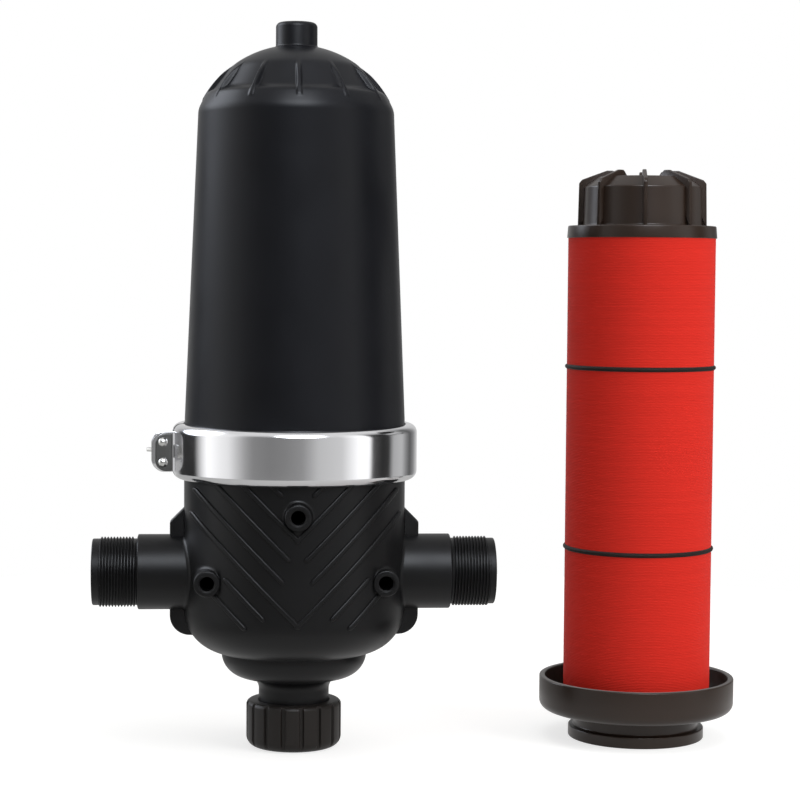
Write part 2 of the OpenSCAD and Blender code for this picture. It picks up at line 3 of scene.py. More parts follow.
import bmesh
import bpy
import numpy as np
from bpy.props import FloatProperty, FloatVectorProperty, IntProperty, PointerProperty
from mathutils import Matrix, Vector


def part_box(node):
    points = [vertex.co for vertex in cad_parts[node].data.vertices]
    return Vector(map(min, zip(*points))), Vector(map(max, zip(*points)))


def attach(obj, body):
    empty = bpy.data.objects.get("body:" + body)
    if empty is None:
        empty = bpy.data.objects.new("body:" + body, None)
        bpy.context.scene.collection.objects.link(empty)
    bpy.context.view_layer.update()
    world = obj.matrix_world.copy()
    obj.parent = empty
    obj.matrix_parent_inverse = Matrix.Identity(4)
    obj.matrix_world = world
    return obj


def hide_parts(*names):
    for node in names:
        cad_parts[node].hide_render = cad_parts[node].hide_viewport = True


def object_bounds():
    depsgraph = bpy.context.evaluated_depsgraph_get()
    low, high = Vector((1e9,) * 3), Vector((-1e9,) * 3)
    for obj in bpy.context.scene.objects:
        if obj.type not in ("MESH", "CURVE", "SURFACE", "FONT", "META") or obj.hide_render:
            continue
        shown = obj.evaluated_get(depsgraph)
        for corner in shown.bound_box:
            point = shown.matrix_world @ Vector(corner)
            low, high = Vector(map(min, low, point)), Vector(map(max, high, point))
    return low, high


bl_info = {
    "name": "Irrigation disc filter",
    "version": (1, 0, 0),
    "blender": (4, 5, 0),
    "location": "View3D > Sidebar > Disc filter",
    "description": "Moulded housing, band clamp and disc cartridge of an irrigation filter",
    "category": "Object",
}

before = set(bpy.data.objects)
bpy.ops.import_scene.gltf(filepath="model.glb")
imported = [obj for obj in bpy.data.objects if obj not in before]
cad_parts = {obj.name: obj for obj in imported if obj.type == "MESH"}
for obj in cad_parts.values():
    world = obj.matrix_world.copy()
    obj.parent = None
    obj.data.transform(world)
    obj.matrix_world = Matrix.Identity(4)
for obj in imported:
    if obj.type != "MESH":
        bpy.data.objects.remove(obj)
CAD_LOW, CAD_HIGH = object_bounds()

MM = 0.001
MERGE = 1e-6
# Clearance between pieces that meet, and how deep a foot is sunk into the body's wall
FIT = 0.3 * MM
ROOT = 1.5 * MM
# Edges sharper than this angle in degrees are shaded as edges
SHARP = 35
# The same for copies of nodes, whose edges are softened from there on
COPY_SHARP = 40
# The direction of the front, as an angle about the upright
FRONT = math.radians(270)
SEED = 7
SENSOR_MM = 36
# Start and end of each chevron's arms in millimetres to the side of the middle, from the top down
CHEVRONS = ((14, 25), (0, 49), (8, 69), (13, 83), (0, 86), (29, 58), (44, 70))
# Sheets of the light tent: degrees to the right of the camera's side, and how white the tent is there
SHEETS = ((-180, 0.5), (-155, 0.45), (-143, 0.3), (-137, 0.03), (-109, 0.02), (-100, 0.57), (-91, 1),
          (-83, 0.9), (-76, 0.8), (-66, 0.71), (-58, 0.5), (-49, 0.3), (-41, 0.2), (-25, 0.17),
          (-10, 0.19), (5, 0.24), (12, 0.33), (20, 0.45), (43, 0.53), (52, 0.76), (60, 0.97), (72, 1),
          (76, 0.06), (88, 0.02), (97, 0.03), (104, 0.36), (118, 0.42), (127, 0.2), (136, 0.08),
          (147, 0.2), (160, 0.45), (180, 0.5))
# Lamps over the tent: direction, cosines of the angles to rim and heart, and colour
LAMPS = (((0.06, -0.74, 0.67), 0.93, 0.98, (8, 8.4, 9, 1)),
         ((-0.82, 0.35, 0.45), 0.9, 0.97, (4, 4.2, 4.6, 1)))
WHITE = (1, 1, 1, 1)


# Values that a user would change

def length(label, note, size):
    """A length in metres, written here in millimetres."""
    return FloatProperty(name=label, description=note, default=size * MM, unit="LENGTH", precision=5)


def angle(label, note, degrees):
    """An angle, written here in degrees."""
    return FloatProperty(name=label, description=note, default=math.radians(degrees), subtype="ANGLE")


def linear(code):
    """An sRGB hex code as linear red, green and blue."""
    value = np.array([int(code[i:i + 2], 16) for i in (1, 3, 5)]) / 255
    return tuple(np.where(value <= 0.04045, value / 12.92, ((value + 0.055) / 1.055) ** 2.4))


def colour(label, note, code):
    """A colour from an sRGB hex code."""
    return FloatVectorProperty(name=label, description=note, default=linear(code), subtype="COLOR",
                               min=0, max=1)


def spot(label, note, point):
    """A point in metres."""
    return FloatVectorProperty(name=label, description=note, default=point, subtype="TRANSLATION",
                               unit="LENGTH")


class BodySizes(bpy.types.PropertyGroup):
    radius: length("Body radius", "Outside radius of the body", 94.1)
    wall: length("Body wall", "Thickness of the moulded wall", 4)
    bowl_round: length("Bowl rounding", "Rounding at the bottom of the bowl", 36)
    bowl_height: length("Bowl height", "Height of the centre of the bowl's rounding", 118.2)
    sump_radius: length("Sump radius", "Outside radius of the sump", 62)
    sump_height: length("Sump height", "Height of the underside of the sump", 60.4)
    sump_round: length("Sump rounding", "Rounding under the sump", 20.8)
    neck_radius: length("Neck radius", "Outside radius of the drain neck", 30)
    neck_fillet: length("Neck fillet", "Fillet between neck and sump", 11.2)
    neck_bore: length("Neck bore", "Radius of the drain's bore", 24)
    neck_gap: length("Neck gap", "Room for the gasket between neck and cap", 3.3)
    seat_height: length("Seat height", "Height of the ledge that the cartridge stands on", 85)
    seat_width: length("Seat width", "Width of that ledge", 6)
    flange_radius: length("Flange radius", "Radius of the flange under the band", 101.9)
    flange_chamfer: length("Flange chamfer", "Chamfer of the flange under the band's lip", 6)
    joint_height: length("Joint height", "Height of the joint between body and cover", 254)
    fillet: length("Moulded fillet", "Fillet where tubes and bosses meet the wall", 3)
    edge: length("Moulded edge", "Rounding of a moulded edge", 1.2)


class PortSizes(bpy.types.PropertyGroup):
    height: length("Port height", "Height of the ports' axis", 150)
    tube: length("Tube radius", "Radius of the smooth tube", 32)
    crest: length("Thread crest", "Radius of the thread's crest", 29.8)
    tip: length("Tip radius", "Radius of the plain tip and of the thread's root", 28.3)
    bore: length("Bore radius", "Radius of the bore", 25)
    thread_start: length("Thread start", "Distance from the axis where the thread starts", 134.5)
    thread_end: length("Thread end", "Distance from the axis where the thread ends", 167.2)
    pitch: length("Thread pitch", "Distance from crest to crest", 2.6)
    web_half: length("Web half thickness", "Half the thickness of the webs round a port", 7)
    web_reach: length("Web reach", "Distance of a web's edge from the axis", 106)
    web_top: length("Web top", "Height where the upper web leaves the wall", 205)
    web_drop: length("Web drop", "How far the lower web reaches below the bowl's centre", 22)
    web_round: length("Web rounding", "Rounding of the lower web's corner", 17)
    web_edge: length("Web edge", "Rounding of a web's rims", 1.6)


class TapSizes(bpy.types.PropertyGroup):
    radius: length("Boss radius", "Outside radius of a tap boss", 11)
    bore: length("Tapping radius", "Radius of the tapping bore", 6)
    mouth: length("Mouth radius", "Radius of the chamfered mouth", 7.2)
    lip: length("Lip rounding", "Rounding of a boss's outer edge", 1.5)
    middle_height: length("Middle tap height", "Height of the tap in the middle", 207)
    middle_out: length("Middle tap reach", "How far the middle tap stands out of the wall", 9)
    side_height: length("Side tap height", "Height of the two side taps", 149)
    side_place: length("Side tap place", "Distance of a side tap from the middle", 74)
    side_out: length("Side tap reach", "How far a side tap stands out of the wall", 13)


class RibSizes(bpy.types.PropertyGroup):
    width: length("Rib width", "Width of a chevron rib", 4.2)
    height: length("Rib height", "Height of a chevron rib", 1.7)
    pitch: length("Rib pitch", "Distance from one chevron to the next", 23.4)
    first: length("First rib", "Height where the uppermost chevron's arms would meet", 211)


class CoverSizes(bpy.types.PropertyGroup):
    low_radius: length("Lower radius", "Radius of the cover above the band", 93.6)
    top_radius: length("Upper radius", "Radius of the cover at its shoulder", 82.8)
    straight: length("Straight foot", "Height above the band where the cover starts to taper", 4.3)
    wall: length("Cover wall", "Thickness of the moulded wall", 4)
    dome_radius: length("Dome radius", "Radius of the dome", 89.5)
    dome_top: length("Dome top", "Height of the top of the dome", 597)
    dome_wall: length("Dome wall", "Thickness of the dome at its top", 5)
    shoulder: length("Shoulder rounding", "Rounding between dome and side", 17)
    inner_dome: length("Inner dome radius", "Radius of the dome's inside", 80)
    ribs: IntProperty(name="Dome ribs", description="Number of ribs across the pockets", default=12, min=4)
    rib_half: length("Rib half thickness", "Half the thickness of a dome rib", 1.6)
    rib_proud: length("Rib height", "How far a dome rib stands out of the dome", 0.7)
    rib_end: length("Rib reach", "Distance of a rib's lower end from the axis", 79)
    pocket_in: length("Pocket top", "Distance of the pockets' upper edge from the axis", 53)
    pocket_out: length("Pocket foot", "Distance of the pockets' lower edge from the axis", 74.4)
    pocket_depth: length("Pocket depth", "Width of the ledge under a pocket", 3.8)
    nub_radius: length("Nub radius", "Radius of the nub on top", 17.6)
    nub_round: length("Nub rounding", "Rounding of the nub's top edge", 4.5)
    nub_fillet: length("Nub fillet", "Fillet between nub and dome", 2)


class ClosureSizes(bpy.types.PropertyGroup):
    band_sheet: length("Band sheet", "Thickness of the band's sheet", 1.5)
    band_round: length("Lip rounding", "Rounding of the band's lips", 7)
    lip_radius: length("Lip radius", "Radius of the lips' edge", 94.6)
    gap: length("Band gap", "Gap between the band's two ends", 6)
    angle: angle("Closure angle", "Direction of the closure seen from above", 188)
    tab_half: length("Tab half height", "Half the height of a bent tab", 17)
    tab_reach: length("Tab reach", "How far a tab reaches out of the band", 18)
    tab_round: length("Tab rounding", "Rounding of a tab's corners", 10)
    bend: length("Bend radius", "Radius of the bend between band and tab", 1.8)
    lug_thick: length("Lug thickness", "Thickness of a lug", 5.5)
    lug_inset: length("Lug inset", "How far a lug stays inside its tab's edge", 2)
    lug_edge: length("Lug edge", "Rounding of a lug's edges", 1)
    bolt_out: length("Bolt place", "Distance of the bolt from the band", 9.6)
    bolt_radius: length("Bolt radius", "Radius of the bolt's thread", 3)
    bolt_reach: length("Bolt reach", "How far the bolt stands out of the rear lug", 23.4)
    bolt_pitch: length("Bolt pitch", "Distance from crest to crest of the bolt's thread", 1)
    bolt_depth: length("Thread depth", "Depth of the bolt's thread", 0.5)
    bolt_head: length("Bolt head", "Half the width of the bolt's square head", 5.5)
    head_thick: length("Head thickness", "Thickness of the bolt's head", 2.6)
    rivet_gap: length("Rivet gap", "Distance between a lug's two rivets", 17)
    rivet_radius: length("Rivet radius", "Radius of a rivet's head", 3.9)
    rivet_rise: length("Rivet rise", "Height of a rivet's head", 2.2)
    rivet_shank: length("Rivet shank", "Radius of a rivet's shank", 2)


class CapSizes(bpy.types.PropertyGroup):
    low_round: length("Lower rounding", "Rounding under the drain cap", 9)
    top_round: length("Upper rounding", "Rounding of the cap's top edge", 4)
    floor: length("Cap floor", "Thickness of the cap's floor", 7)
    lead: length("Cap chamfer", "Chamfer at the mouth of the cap", 0.6)
    grooves: IntProperty(name="Grooves", description="Number of grip grooves", default=16, min=6)
    first: FloatProperty(name="First groove", description="First groove's place in pitches from the front",
                         default=0.35)
    groove_half: length("Groove half width", "Half the width of a grip groove", 1.7)
    groove_depth: length("Groove depth", "Depth of a grip groove", 2)


class CartridgeSizes(bpy.types.PropertyGroup):
    disc_pitch: length("Disc pitch", "Thickness of one grooved disc", 1.36)
    groove: length("Disc groove", "Depth of the line between two discs", 0.16)
    uneven: length("Disc play", "How far discs differ in radius", 0.04)
    spine: length("Sleeve radius", "Inside radius of the discs", 50.3)
    collar: length("Collar radius", "Outside radius of the collar", 59.3)
    collar_height: length("Collar height", "Height of the collar", 10)
    neck: length("Neck radius", "Radius between collar and dish", 54.5)
    dish_height: length("Dish height", "Height of the dish's underside", 24)
    dish_floor: length("Dish floor", "Thickness of the dish's floor", 9)
    dish_wall: length("Dish rim", "Thickness of the dish's rim", 5)
    dish_round: length("Dish rounding", "Rounding under the dish", 8)
    bore: length("Bore radius", "Radius of the bore through the base", 45)
    socket: length("Socket depth", "Depth of the sleeve's socket in the dish", 4)
    edge: length("Moulded edge", "Rounding of the dish's edges", 1.2)
    knob: length("Knob radius", "Radius of the knob", 51.5)
    knob_flange: length("Flange thickness", "Thickness of the knob's flange", 10.5)
    knob_height: length("Knob height", "Height of the knob above its flange", 42.6)
    knob_bevel: length("Knob bevel", "Height of the knob's bevelled shoulder", 9)
    knob_draw: length("Knob bevel width", "Width of the knob's bevelled shoulder", 14)
    knob_wall: length("Knob wall", "Thickness of the knob's wall", 5)
    knob_taper: length("Knob taper", "How far the knob's side leans in", 0.8)
    hub: length("Hub radius", "Radius of the hub inside the knob", 20)
    screw: length("Screw radius", "Radius of the hub's threaded hole", 15.3)
    screw_depth: length("Screw depth", "Depth of the hub's threaded hole", 38.3)
    seal_out: length("Seal groove", "Outside radius of the seal's groove", 60.3)
    seal_in: length("Seal groove inside", "Inside radius of the seal's groove", 51.7)
    seal_depth: length("Seal groove depth", "Depth of the seal's groove", 2.3)
    ribs: IntProperty(name="Grip ribs", description="Number of ribs on the knob", default=8, min=3)
    rib_half: length("Rib half thickness", "Half the thickness of a grip rib", 1.7)
    rib_out: length("Rib reach", "How far a grip rib stands out of the knob", 3.6)
    rib_crest: length("Rib crest", "Distance of a rib's highest corner from the axis", 31)
    rib_top: length("Rib top", "Length of a rib's level top", 5.5)
    rib_first: angle("First rib", "Direction of the first grip rib", 262)


class FinishColours(bpy.types.PropertyGroup):
    cover: colour("Cover plastic", "Black of the cover", "#0f1014")
    body: colour("Body plastic", "Black of the body", "#111112")
    cap: colour("Cap plastic", "Black of the drain cap", "#211e1c")
    steel: colour("Band steel", "Polished stainless steel", "#e6e6e8")
    lug: colour("Lug coating", "Dark grey of the lugs", "#5a5a59")
    rivet: colour("Rivet steel", "Bright steel of rivets, bolt and nut", "#d9d9d7")
    disc: colour("Disc plastic", "Red of the discs", "#d42f25")
    cartridge: colour("Cartridge plastic", "Dark brown of dish and knob", "#2a1f18")
    ring: colour("Ring rubber", "Rings round the stack", "#231f1d")
    seal: colour("Seal rubber", "Seals and gaskets", "#141414")
    floor: colour("Floor", "Pale floor", "#f2f2f0")


class StageSettings(bpy.types.PropertyGroup):
    camera_place: spot("Camera place", "Where the camera stands", (-0.0571, -1.872, 0.4073))
    camera_tilt: angle("Camera tilt", "Camera's angle from straight down", 86.64)
    camera_turn: angle("Camera turn", "Camera's angle to the left of +Y", -4.46)
    camera_roll: angle("Camera roll", "Lean of the camera to the right", -0.42)
    lens: FloatProperty(name="Lens", description="Focal length in millimetres on a 36 mm sensor",
                        default=98.9)
    ambient: FloatProperty(name="Ambient", description="Level of the light from all round", default=0.58)
    tent: FloatProperty(name="Tent", description="Level of what surfaces mirror", default=1.35)
    aim: spot("Aim", "Where both lights point", (0.15, 0, 0.3))
    key: FloatProperty(name="Key light", description="Power of the light on the right in watts", default=28)
    key_place: spot("Key place", "Where the light on the right stands", (1.75, -1.2, 1.2))
    key_width: length("Key width", "Width of the light on the right", 1300)
    fill: FloatProperty(name="Fill light", description="Power of the light above in watts", default=12)
    fill_place: spot("Fill place", "Where the light above hangs", (0.1, -0.3, 2.2))
    fill_width: length("Fill width", "Width of the light above", 1600)
    floor_radius: length("Floor radius", "Radius of the round floor", 1100)


class FilterSettings(bpy.types.PropertyGroup):
    body: PointerProperty(type=BodySizes)
    port: PointerProperty(type=PortSizes)
    tap: PointerProperty(type=TapSizes)
    rib: PointerProperty(type=RibSizes)
    cover: PointerProperty(type=CoverSizes)
    closure: PointerProperty(type=ClosureSizes)
    cap: PointerProperty(type=CapSizes)
    cartridge: PointerProperty(type=CartridgeSizes)
    finish: PointerProperty(type=FinishColours)
    stage: PointerProperty(type=StageSettings)


# Curves and surfaces

def arc(centre, radius, start, end, count=12):
    """Points of a circle: centre plus radius times (cos a, sin a), a running from start to end degrees."""
    a = np.radians(np.linspace(start, end, count))
    return np.column_stack((centre[0] + radius * np.cos(a), centre[1] + radius * np.sin(a)))


def rounded(corners, count=6, closed=True):
    """Outline through corners (x, y, r), each replaced by the arc of radius r that touches both its sides.

    With unit ways u and v from a corner to its neighbours and half the angle h between them, the arc
    touches the sides r / tan h away and its centre lies r / sin h along the bisector. The arc is run
    through by turning one touching radius into the other."""
    table = np.array(corners, float)
    point, radius = table[:, :2], table[:, 2].copy()
    if not closed:
        radius[[0, -1]] = 0
    before = np.roll(point, 1, axis=0) - point
    after = np.roll(point, -1, axis=0) - point
    u = before / np.linalg.norm(before, axis=1, keepdims=True)
    v = after / np.linalg.norm(after, axis=1, keepdims=True)
    half = np.arccos(np.clip((u * v).sum(axis=1), -1, 1)) / 2
    bisector = (u + v) / np.maximum(np.linalg.norm(u + v, axis=1, keepdims=True), 1e-9)
    centre = point + bisector * (radius / np.sin(half))[:, None]
    first = point + u * (radius / np.tan(half))[:, None] - centre
    last = point + v * (radius / np.tan(half))[:, None] - centre
    sweep = np.maximum(np.pi - 2 * half, 1e-6)[:, None]
    t = np.linspace(0, 1, count)[None, :]
    a = (np.sin((1 - t) * sweep) / np.sin(sweep))[:, :, None]
    b = (np.sin(t * sweep) / np.sin(sweep))[:, :, None]
    return (centre[:, None] + a * first[:, None] + b * last[:, None]).reshape(-1, 2)


def round_angles(count):
    """Angles that run once round."""
    return np.linspace(0, 2 * np.pi, count, endpoint=False)


def quarter(count):
    """Angles of a quarter turn."""
    return np.linspace(0, np.pi / 2, count)


def smooth_step(low, high, value):
    """0 below low, 1 above high and 3t^2 - 2t^3 between them."""
    t = np.clip((value - low) / (high - low), 0, 1)
    return t * t * (3 - 2 * t)


def full_rows(rows, angles):
    """Rows of (radius, depth), each one number or one for every angle, as two grids."""
    return [np.array([np.broadcast_to(part, angles.shape) for part in column]) for column in zip(*rows)]


def turned(profile, angles, centre=(0, 0)):
    """A profile of (radius, height) carried round an upright axis: (r cos a, r sin a, z)."""
    r, z = profile[:, :1], profile[:, 1:]
    x = centre[0] + r * np.cos(angles)
    y = centre[1] + r * np.sin(angles)
    return np.stack((x, y, np.broadcast_to(z, x.shape)), axis=-1)


def solid(name, *grids, sharp=SHARP):
    """One closed mesh object from grids of points, where rows run along a shape and columns run round it.

    A grid's ends are "loop" where its last row meets its first, "cap" where a flat face closes each end
    row and "pole" where the end rows shrink to a point."""
    points, corners, sizes, base = [], [], [], 0
    for grid, ends in grids:
        rows, columns = grid.shape[:2]
        index = base + np.arange(rows * columns).reshape(rows, columns)
        lids = [index[0, ::-1], index[-1]] if ends == "cap" else []
        index = np.column_stack((index, index[:, 0]))
        if ends == "loop":
            index = np.vstack((index, index[:1]))
        quads = np.stack((index[:-1, :-1], index[:-1, 1:], index[1:, 1:], index[1:, :-1]), axis=-1)
        corners += [quads.reshape(-1), *lids]
        sizes += [np.full(quads.size // 4, 4), np.full(len(lids), columns)]
        points.append(grid.reshape(-1, 3))
        base += rows * columns
    points, corners, sizes = (np.concatenate(part) for part in (points, corners, sizes))
    mesh = bpy.data.meshes.new(name)
    mesh.vertices.add(len(points))
    mesh.vertices.foreach_set("co", points.astype(np.float32).ravel())
    mesh.loops.add(len(corners))
    mesh.loops.foreach_set("vertex_index", corners.astype(np.int32))
    mesh.polygons.add(len(sizes))
    mesh.polygons.foreach_set("loop_start", (np.cumsum(sizes) - sizes).astype(np.int32))
    mesh.update(calc_edges=True)
    return linked(name, clean(mesh, sharp))


def linked(name, data):
    """A new object of the scene that holds a mesh, lamp or camera."""
    piece = bpy.data.objects.new(name, data)
    bpy.context.scene.collection.objects.link(piece)
    return piece


def shade(mesh, sharp=SHARP):
    """Shade smooth up to an angle in degrees."""
    mesh.shade_smooth()
    mesh.set_sharp_from_angle(angle=math.radians(sharp))


def clean(mesh, sharp):
    """Close seams and poles, turn the faces outwards and shade smooth."""
    work = bmesh.new()
    work.from_mesh(mesh)
    bmesh.ops.remove_doubles(work, verts=work.verts, dist=MERGE)
    bmesh.ops.recalc_face_normals(work, faces=work.faces)
    work.to_mesh(mesh)
    work.free()
    shade(mesh, sharp)
    return mesh


def copy_node(name, node):
    """Merged copy of a node's mesh at the node's own place."""
    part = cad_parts[node]
    mesh = part.data.copy()
    mesh.transform(part.matrix_world)
    mesh.name = name
    return linked(name, clean(mesh, COPY_SHARP))


def discard(piece):
    """Remove an object and its mesh."""
    mesh = piece.data
    bpy.data.objects.remove(piece)
    bpy.data.meshes.remove(mesh)


def cut(piece, cutter):
    """Take a cutter's shape away from a piece for good."""
    tool = piece.modifiers.new("cut", "BOOLEAN")
    tool.operation = "DIFFERENCE"
    tool.solver = "EXACT"
    tool.object = cutter
    graph = bpy.context.evaluated_depsgraph_get()
    result = bpy.data.meshes.new_from_object(piece.evaluated_get(graph))
    if not result.polygons:
        raise RuntimeError(f"{piece.name} lost its faces when it was cut")
    piece.modifiers.clear()
    old = piece.data
    piece.data = result
    bpy.data.meshes.remove(old)
    discard(cutter)
    shade(result)


def merge(piece, extra):
    """Add another object's closed shells to a piece and drop the other object."""
    work = bmesh.new()
    work.from_mesh(piece.data)
    work.from_mesh(extra.data)
    work.to_mesh(piece.data)
    work.free()
    discard(extra)
    shade(piece.data)


def slab(outline, near, far, edge, steps=4):
    """Grid of a plate: an outline at two depths, drawn in by edge (1 - sin a) while the depth runs
    edge (1 - cos a) from each face, so that both rims are rounded. Columns are (x, depth, y)."""
    way = np.roll(outline, -1, axis=0) - np.roll(outline, 1, axis=0)
    way /= np.linalg.norm(way, axis=1, keepdims=True)
    x, y = outline[:, 0], outline[:, 1]
    area = np.sum(x * np.roll(y, -1) - np.roll(x, -1) * y)
    inward = np.column_stack((-way[:, 1], way[:, 0])) * np.sign(area)
    a = quarter(steps)
    draw = edge * (1 - np.sin(a))
    rise = edge * (1 - np.cos(a))
    draw = np.concatenate((draw, draw[::-1]))
    depth = np.concatenate((near + rise, far - rise[::-1]))
    flat = outline[None] + inward[None] * draw[:, None, None]
    return np.stack((flat[..., 0], np.broadcast_to(depth[:, None], flat.shape[:2]), flat[..., 1]), axis=-1)


def turn_about_z(points, angle, centre=(0, 0)):
    """Points turned about the upright through the origin, then moved to a centre."""
    c, s = np.cos(angle), np.sin(angle)
    x = points[..., 0] * c - points[..., 1] * s + centre[0]
    y = points[..., 0] * s + points[..., 1] * c + centre[1]
    return np.stack((x, y, points[..., 2]), axis=-1)


def rod(start, end, radius, along, count=64):
    """Grid of a closed rod about a line along x (0) or y (1): two rings and their two middles."""
    angles = round_angles(count)
    reach = np.array([0, radius, radius, 0])[:, None]
    depth = np.array([start[along], start[along], end[along], end[along]])[:, None]
    side = start[1 - along] + reach * np.cos(angles)
    up = start[2] + reach * np.sin(angles)
    flat = np.broadcast_to(depth, side.shape)
    return np.stack((flat, side, up) if along == 0 else (side, flat, up), axis=-1)


def ribbed_angles(radii, count, first, offsets, between):
    """Angles of the columns round a ribbed turned shape, with their distance from the nearest rib.

    Near each rib the columns keep set distances from its middle line, whatever the radius, so that the
    rib has parallel sides. Between two ribs the rest are evenly spread. Returns a grid of angles and one
    row of distances."""
    reach = offsets[-1]
    rib = first + round_angles(count)[None, :, None]
    near = rib + offsets[None, None, :] / radii[:, None, None]
    share = (np.arange(between) + 1) / (between + 1)
    gap = 2 * np.pi / count - 2 * reach / radii
    far = rib + reach / radii[:, None, None] + share[None, None, :] * gap[:, None, None]
    angles = np.concatenate((near, far), axis=2).reshape(len(radii), -1)
    distance = np.tile(np.concatenate((np.abs(offsets), np.full(between, reach))), count)
    return angles, distance


def both_ways(steps):
    """Distances in millimetres to both sides of a middle line, from those to one side."""
    steps = np.array(steps) * MM
    return np.concatenate((-steps[:0:-1], steps))


def box_of(node):
    """Lowest and highest corner of a node, as arrays."""
    low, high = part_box(node)
    return np.array(low), np.array(high)


def round_size(node):
    """Radius, foot and top of a round node."""
    low, high = box_of(node)
    return (high[0] - low[0]) / 2, low[2], high[2]


def settings():
    """All values that a user would change."""
    return bpy.context.scene.disc_filter


def dress(piece, finish, body, slot, *nodes):
    """Give a piece its finish and the body it rides on, and hide the nodes it stands for. Slot: not used."""
    piece.data.materials.clear()
    piece.data.materials.append(finish)
    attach(piece, body)
    if nodes:
        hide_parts(*nodes)


def unmirrored(piece):
    """Keep an object out of reflections, such as those in the polished band."""
    piece.visible_glossy = False


# Finishes

def wire(tree, node, inputs):
    """Set a node's inputs, given by name or by place, or link them to a socket or a node's first output."""
    for socket, value in inputs.items() if isinstance(inputs, dict) else enumerate(inputs):
        if isinstance(value, bpy.types.Node):
            value = value.outputs[0]
        if isinstance(value, bpy.types.NodeSocket):
            tree.links.new(value, node.inputs[socket])
        else:
            node.inputs[socket].default_value = value


def add(tree, kind, inputs=(), **values):
    """Add a node, set its own values, then its inputs."""
    node = tree.nodes.new(kind)
    for name, value in values.items():
        setattr(node, name, value)
    wire(tree, node, inputs)
    return node


def empty_tree(owner):
    """The node tree of a material or world, with nothing in it."""
    owner.use_nodes = True
    owner.node_tree.nodes.clear()
    return owner.node_tree


def kept(make):
    """Hand out a finish that was made before, and make it only once."""
    def give(name, *values, **named):
        return bpy.data.materials.get(name) or make(name, *values, **named)
    return give


def start_finish(name):
    """A new material: the material, its tree, its shader and its object coordinates."""
    made = bpy.data.materials.new(name)
    tree = empty_tree(made)
    shader = add(tree, "ShaderNodeBsdfPrincipled")
    add(tree, "ShaderNodeOutputMaterial", (shader,))
    return made, tree, shader, add(tree, "ShaderNodeTexCoord").outputs["Object"]


def grain(size_mm):
    """Scale of a noise whose grains are about as wide as given in millimetres."""
    return 1 / (size_mm * MM)


def tints(tone, low, high):
    """A tone made darker and lighter, as the two colours of a mix."""
    return {6: (*[c * low for c in tone], 1), 7: (*[c * high for c in tone], 1)}


@kept
def moulded_plastic(name, tone, roughness, shine=0.2):
    """Injection-moulded polypropylene: a satin skin with the mould's fine grain, which spreads highlights,
    and faint flow marks some centimetres long that make the gloss uneven. The mould's grain is about
    0.2 mm wide; it is drawn 0.9 mm wide so that it shows at the photo's scale."""
    made, tree, shader, where = start_finish(name)
    flow = add(tree, "ShaderNodeTexNoise", {"Vector": where, "Scale": grain(45), "Detail": 3})
    skin = add(tree, "ShaderNodeTexNoise", {"Vector": where, "Scale": grain(0.9), "Detail": 2})
    bump = add(tree, "ShaderNodeBump", {"Height": skin, "Strength": 0.3, "Distance": 0.02 * MM})
    tint = add(tree, "ShaderNodeMix", {0: flow, **tints(tone, 0.85, 1.15)}, data_type="RGBA")
    gloss = add(tree, "ShaderNodeMapRange", (flow, 0.3, 0.7, roughness - 0.04, roughness + 0.04))
    wire(tree, shader, {"Base Color": tint.outputs[2], "Roughness": gloss, "Normal": bump,
                        "Specular IOR Level": shine})
    return made


@kept
def rolled_steel(name, tone, roughness, lines_mm):
    """Bright stainless sheet: fine lines that run round the band, left by rolling, and a slightly uneven
    gloss. Real rolling lines are a few hundredths of a millimetre wide; they are drawn coarser."""
    made, tree, shader, where = start_finish(name)
    height = add(tree, "ShaderNodeSeparateXYZ", (where,)).outputs["Z"]
    lines = add(tree, "ShaderNodeTexNoise", {"W": height, "Scale": grain(lines_mm), "Detail": 3},
                noise_dimensions="1D")
    worn = add(tree, "ShaderNodeTexNoise", {"Vector": where, "Scale": grain(20), "Detail": 3})
    both = add(tree, "ShaderNodeMath", (lines, worn), operation="ADD")
    gloss = add(tree, "ShaderNodeMapRange", (both, 0.7, 1.3, roughness - 0.02, roughness + 0.03))
    wire(tree, shader, {"Base Color": (*tone, 1), "Metallic": 1, "Roughness": gloss})
    return made


@kept
def coated_steel(name, tone):
    """Steel under a dull dark coating: a slightly pitted, half-metallic grey."""
    made, tree, shader, where = start_finish(name)
    pits = add(tree, "ShaderNodeTexNoise", {"Vector": where, "Scale": grain(1.6), "Detail": 4})
    bump = add(tree, "ShaderNodeBump", {"Height": pits, "Strength": 0.4, "Distance": 0.06 * MM})
    tint = add(tree, "ShaderNodeMix", {0: pits, **tints(tone, 0.8, 1.2)}, data_type="RGBA")
    gloss = add(tree, "ShaderNodeMapRange", (pits, 0.35, 0.65, 0.36, 0.5))
    wire(tree, shader, {"Base Color": tint.outputs[2], "Metallic": 0.6, "Roughness": gloss, "Normal": bump})
    return made


@kept
def red_discs(name, tone, pitch):
    """Polypropylene discs moulded in different shots: every disc's red is a shade lighter or darker
    than its neighbours', picked by the disc's number, the height divided by the discs' pitch."""
    made, tree, shader, where = start_finish(name)
    height = add(tree, "ShaderNodeSeparateXYZ", (where,)).outputs["Z"]
    share = add(tree, "ShaderNodeMath", (height, pitch), operation="DIVIDE")
    number = add(tree, "ShaderNodeMath", (share,), operation="FLOOR")
    pick = add(tree, "ShaderNodeTexWhiteNoise", {"W": number}, noise_dimensions="1D")
    tint = add(tree, "ShaderNodeMix", {0: pick, **tints(tone, 0.97, 1.02)}, data_type="RGBA")
    wire(tree, shader, {"Base Color": tint.outputs[2], "Roughness": 0.55, "Specular IOR Level": 0.06})
    return made


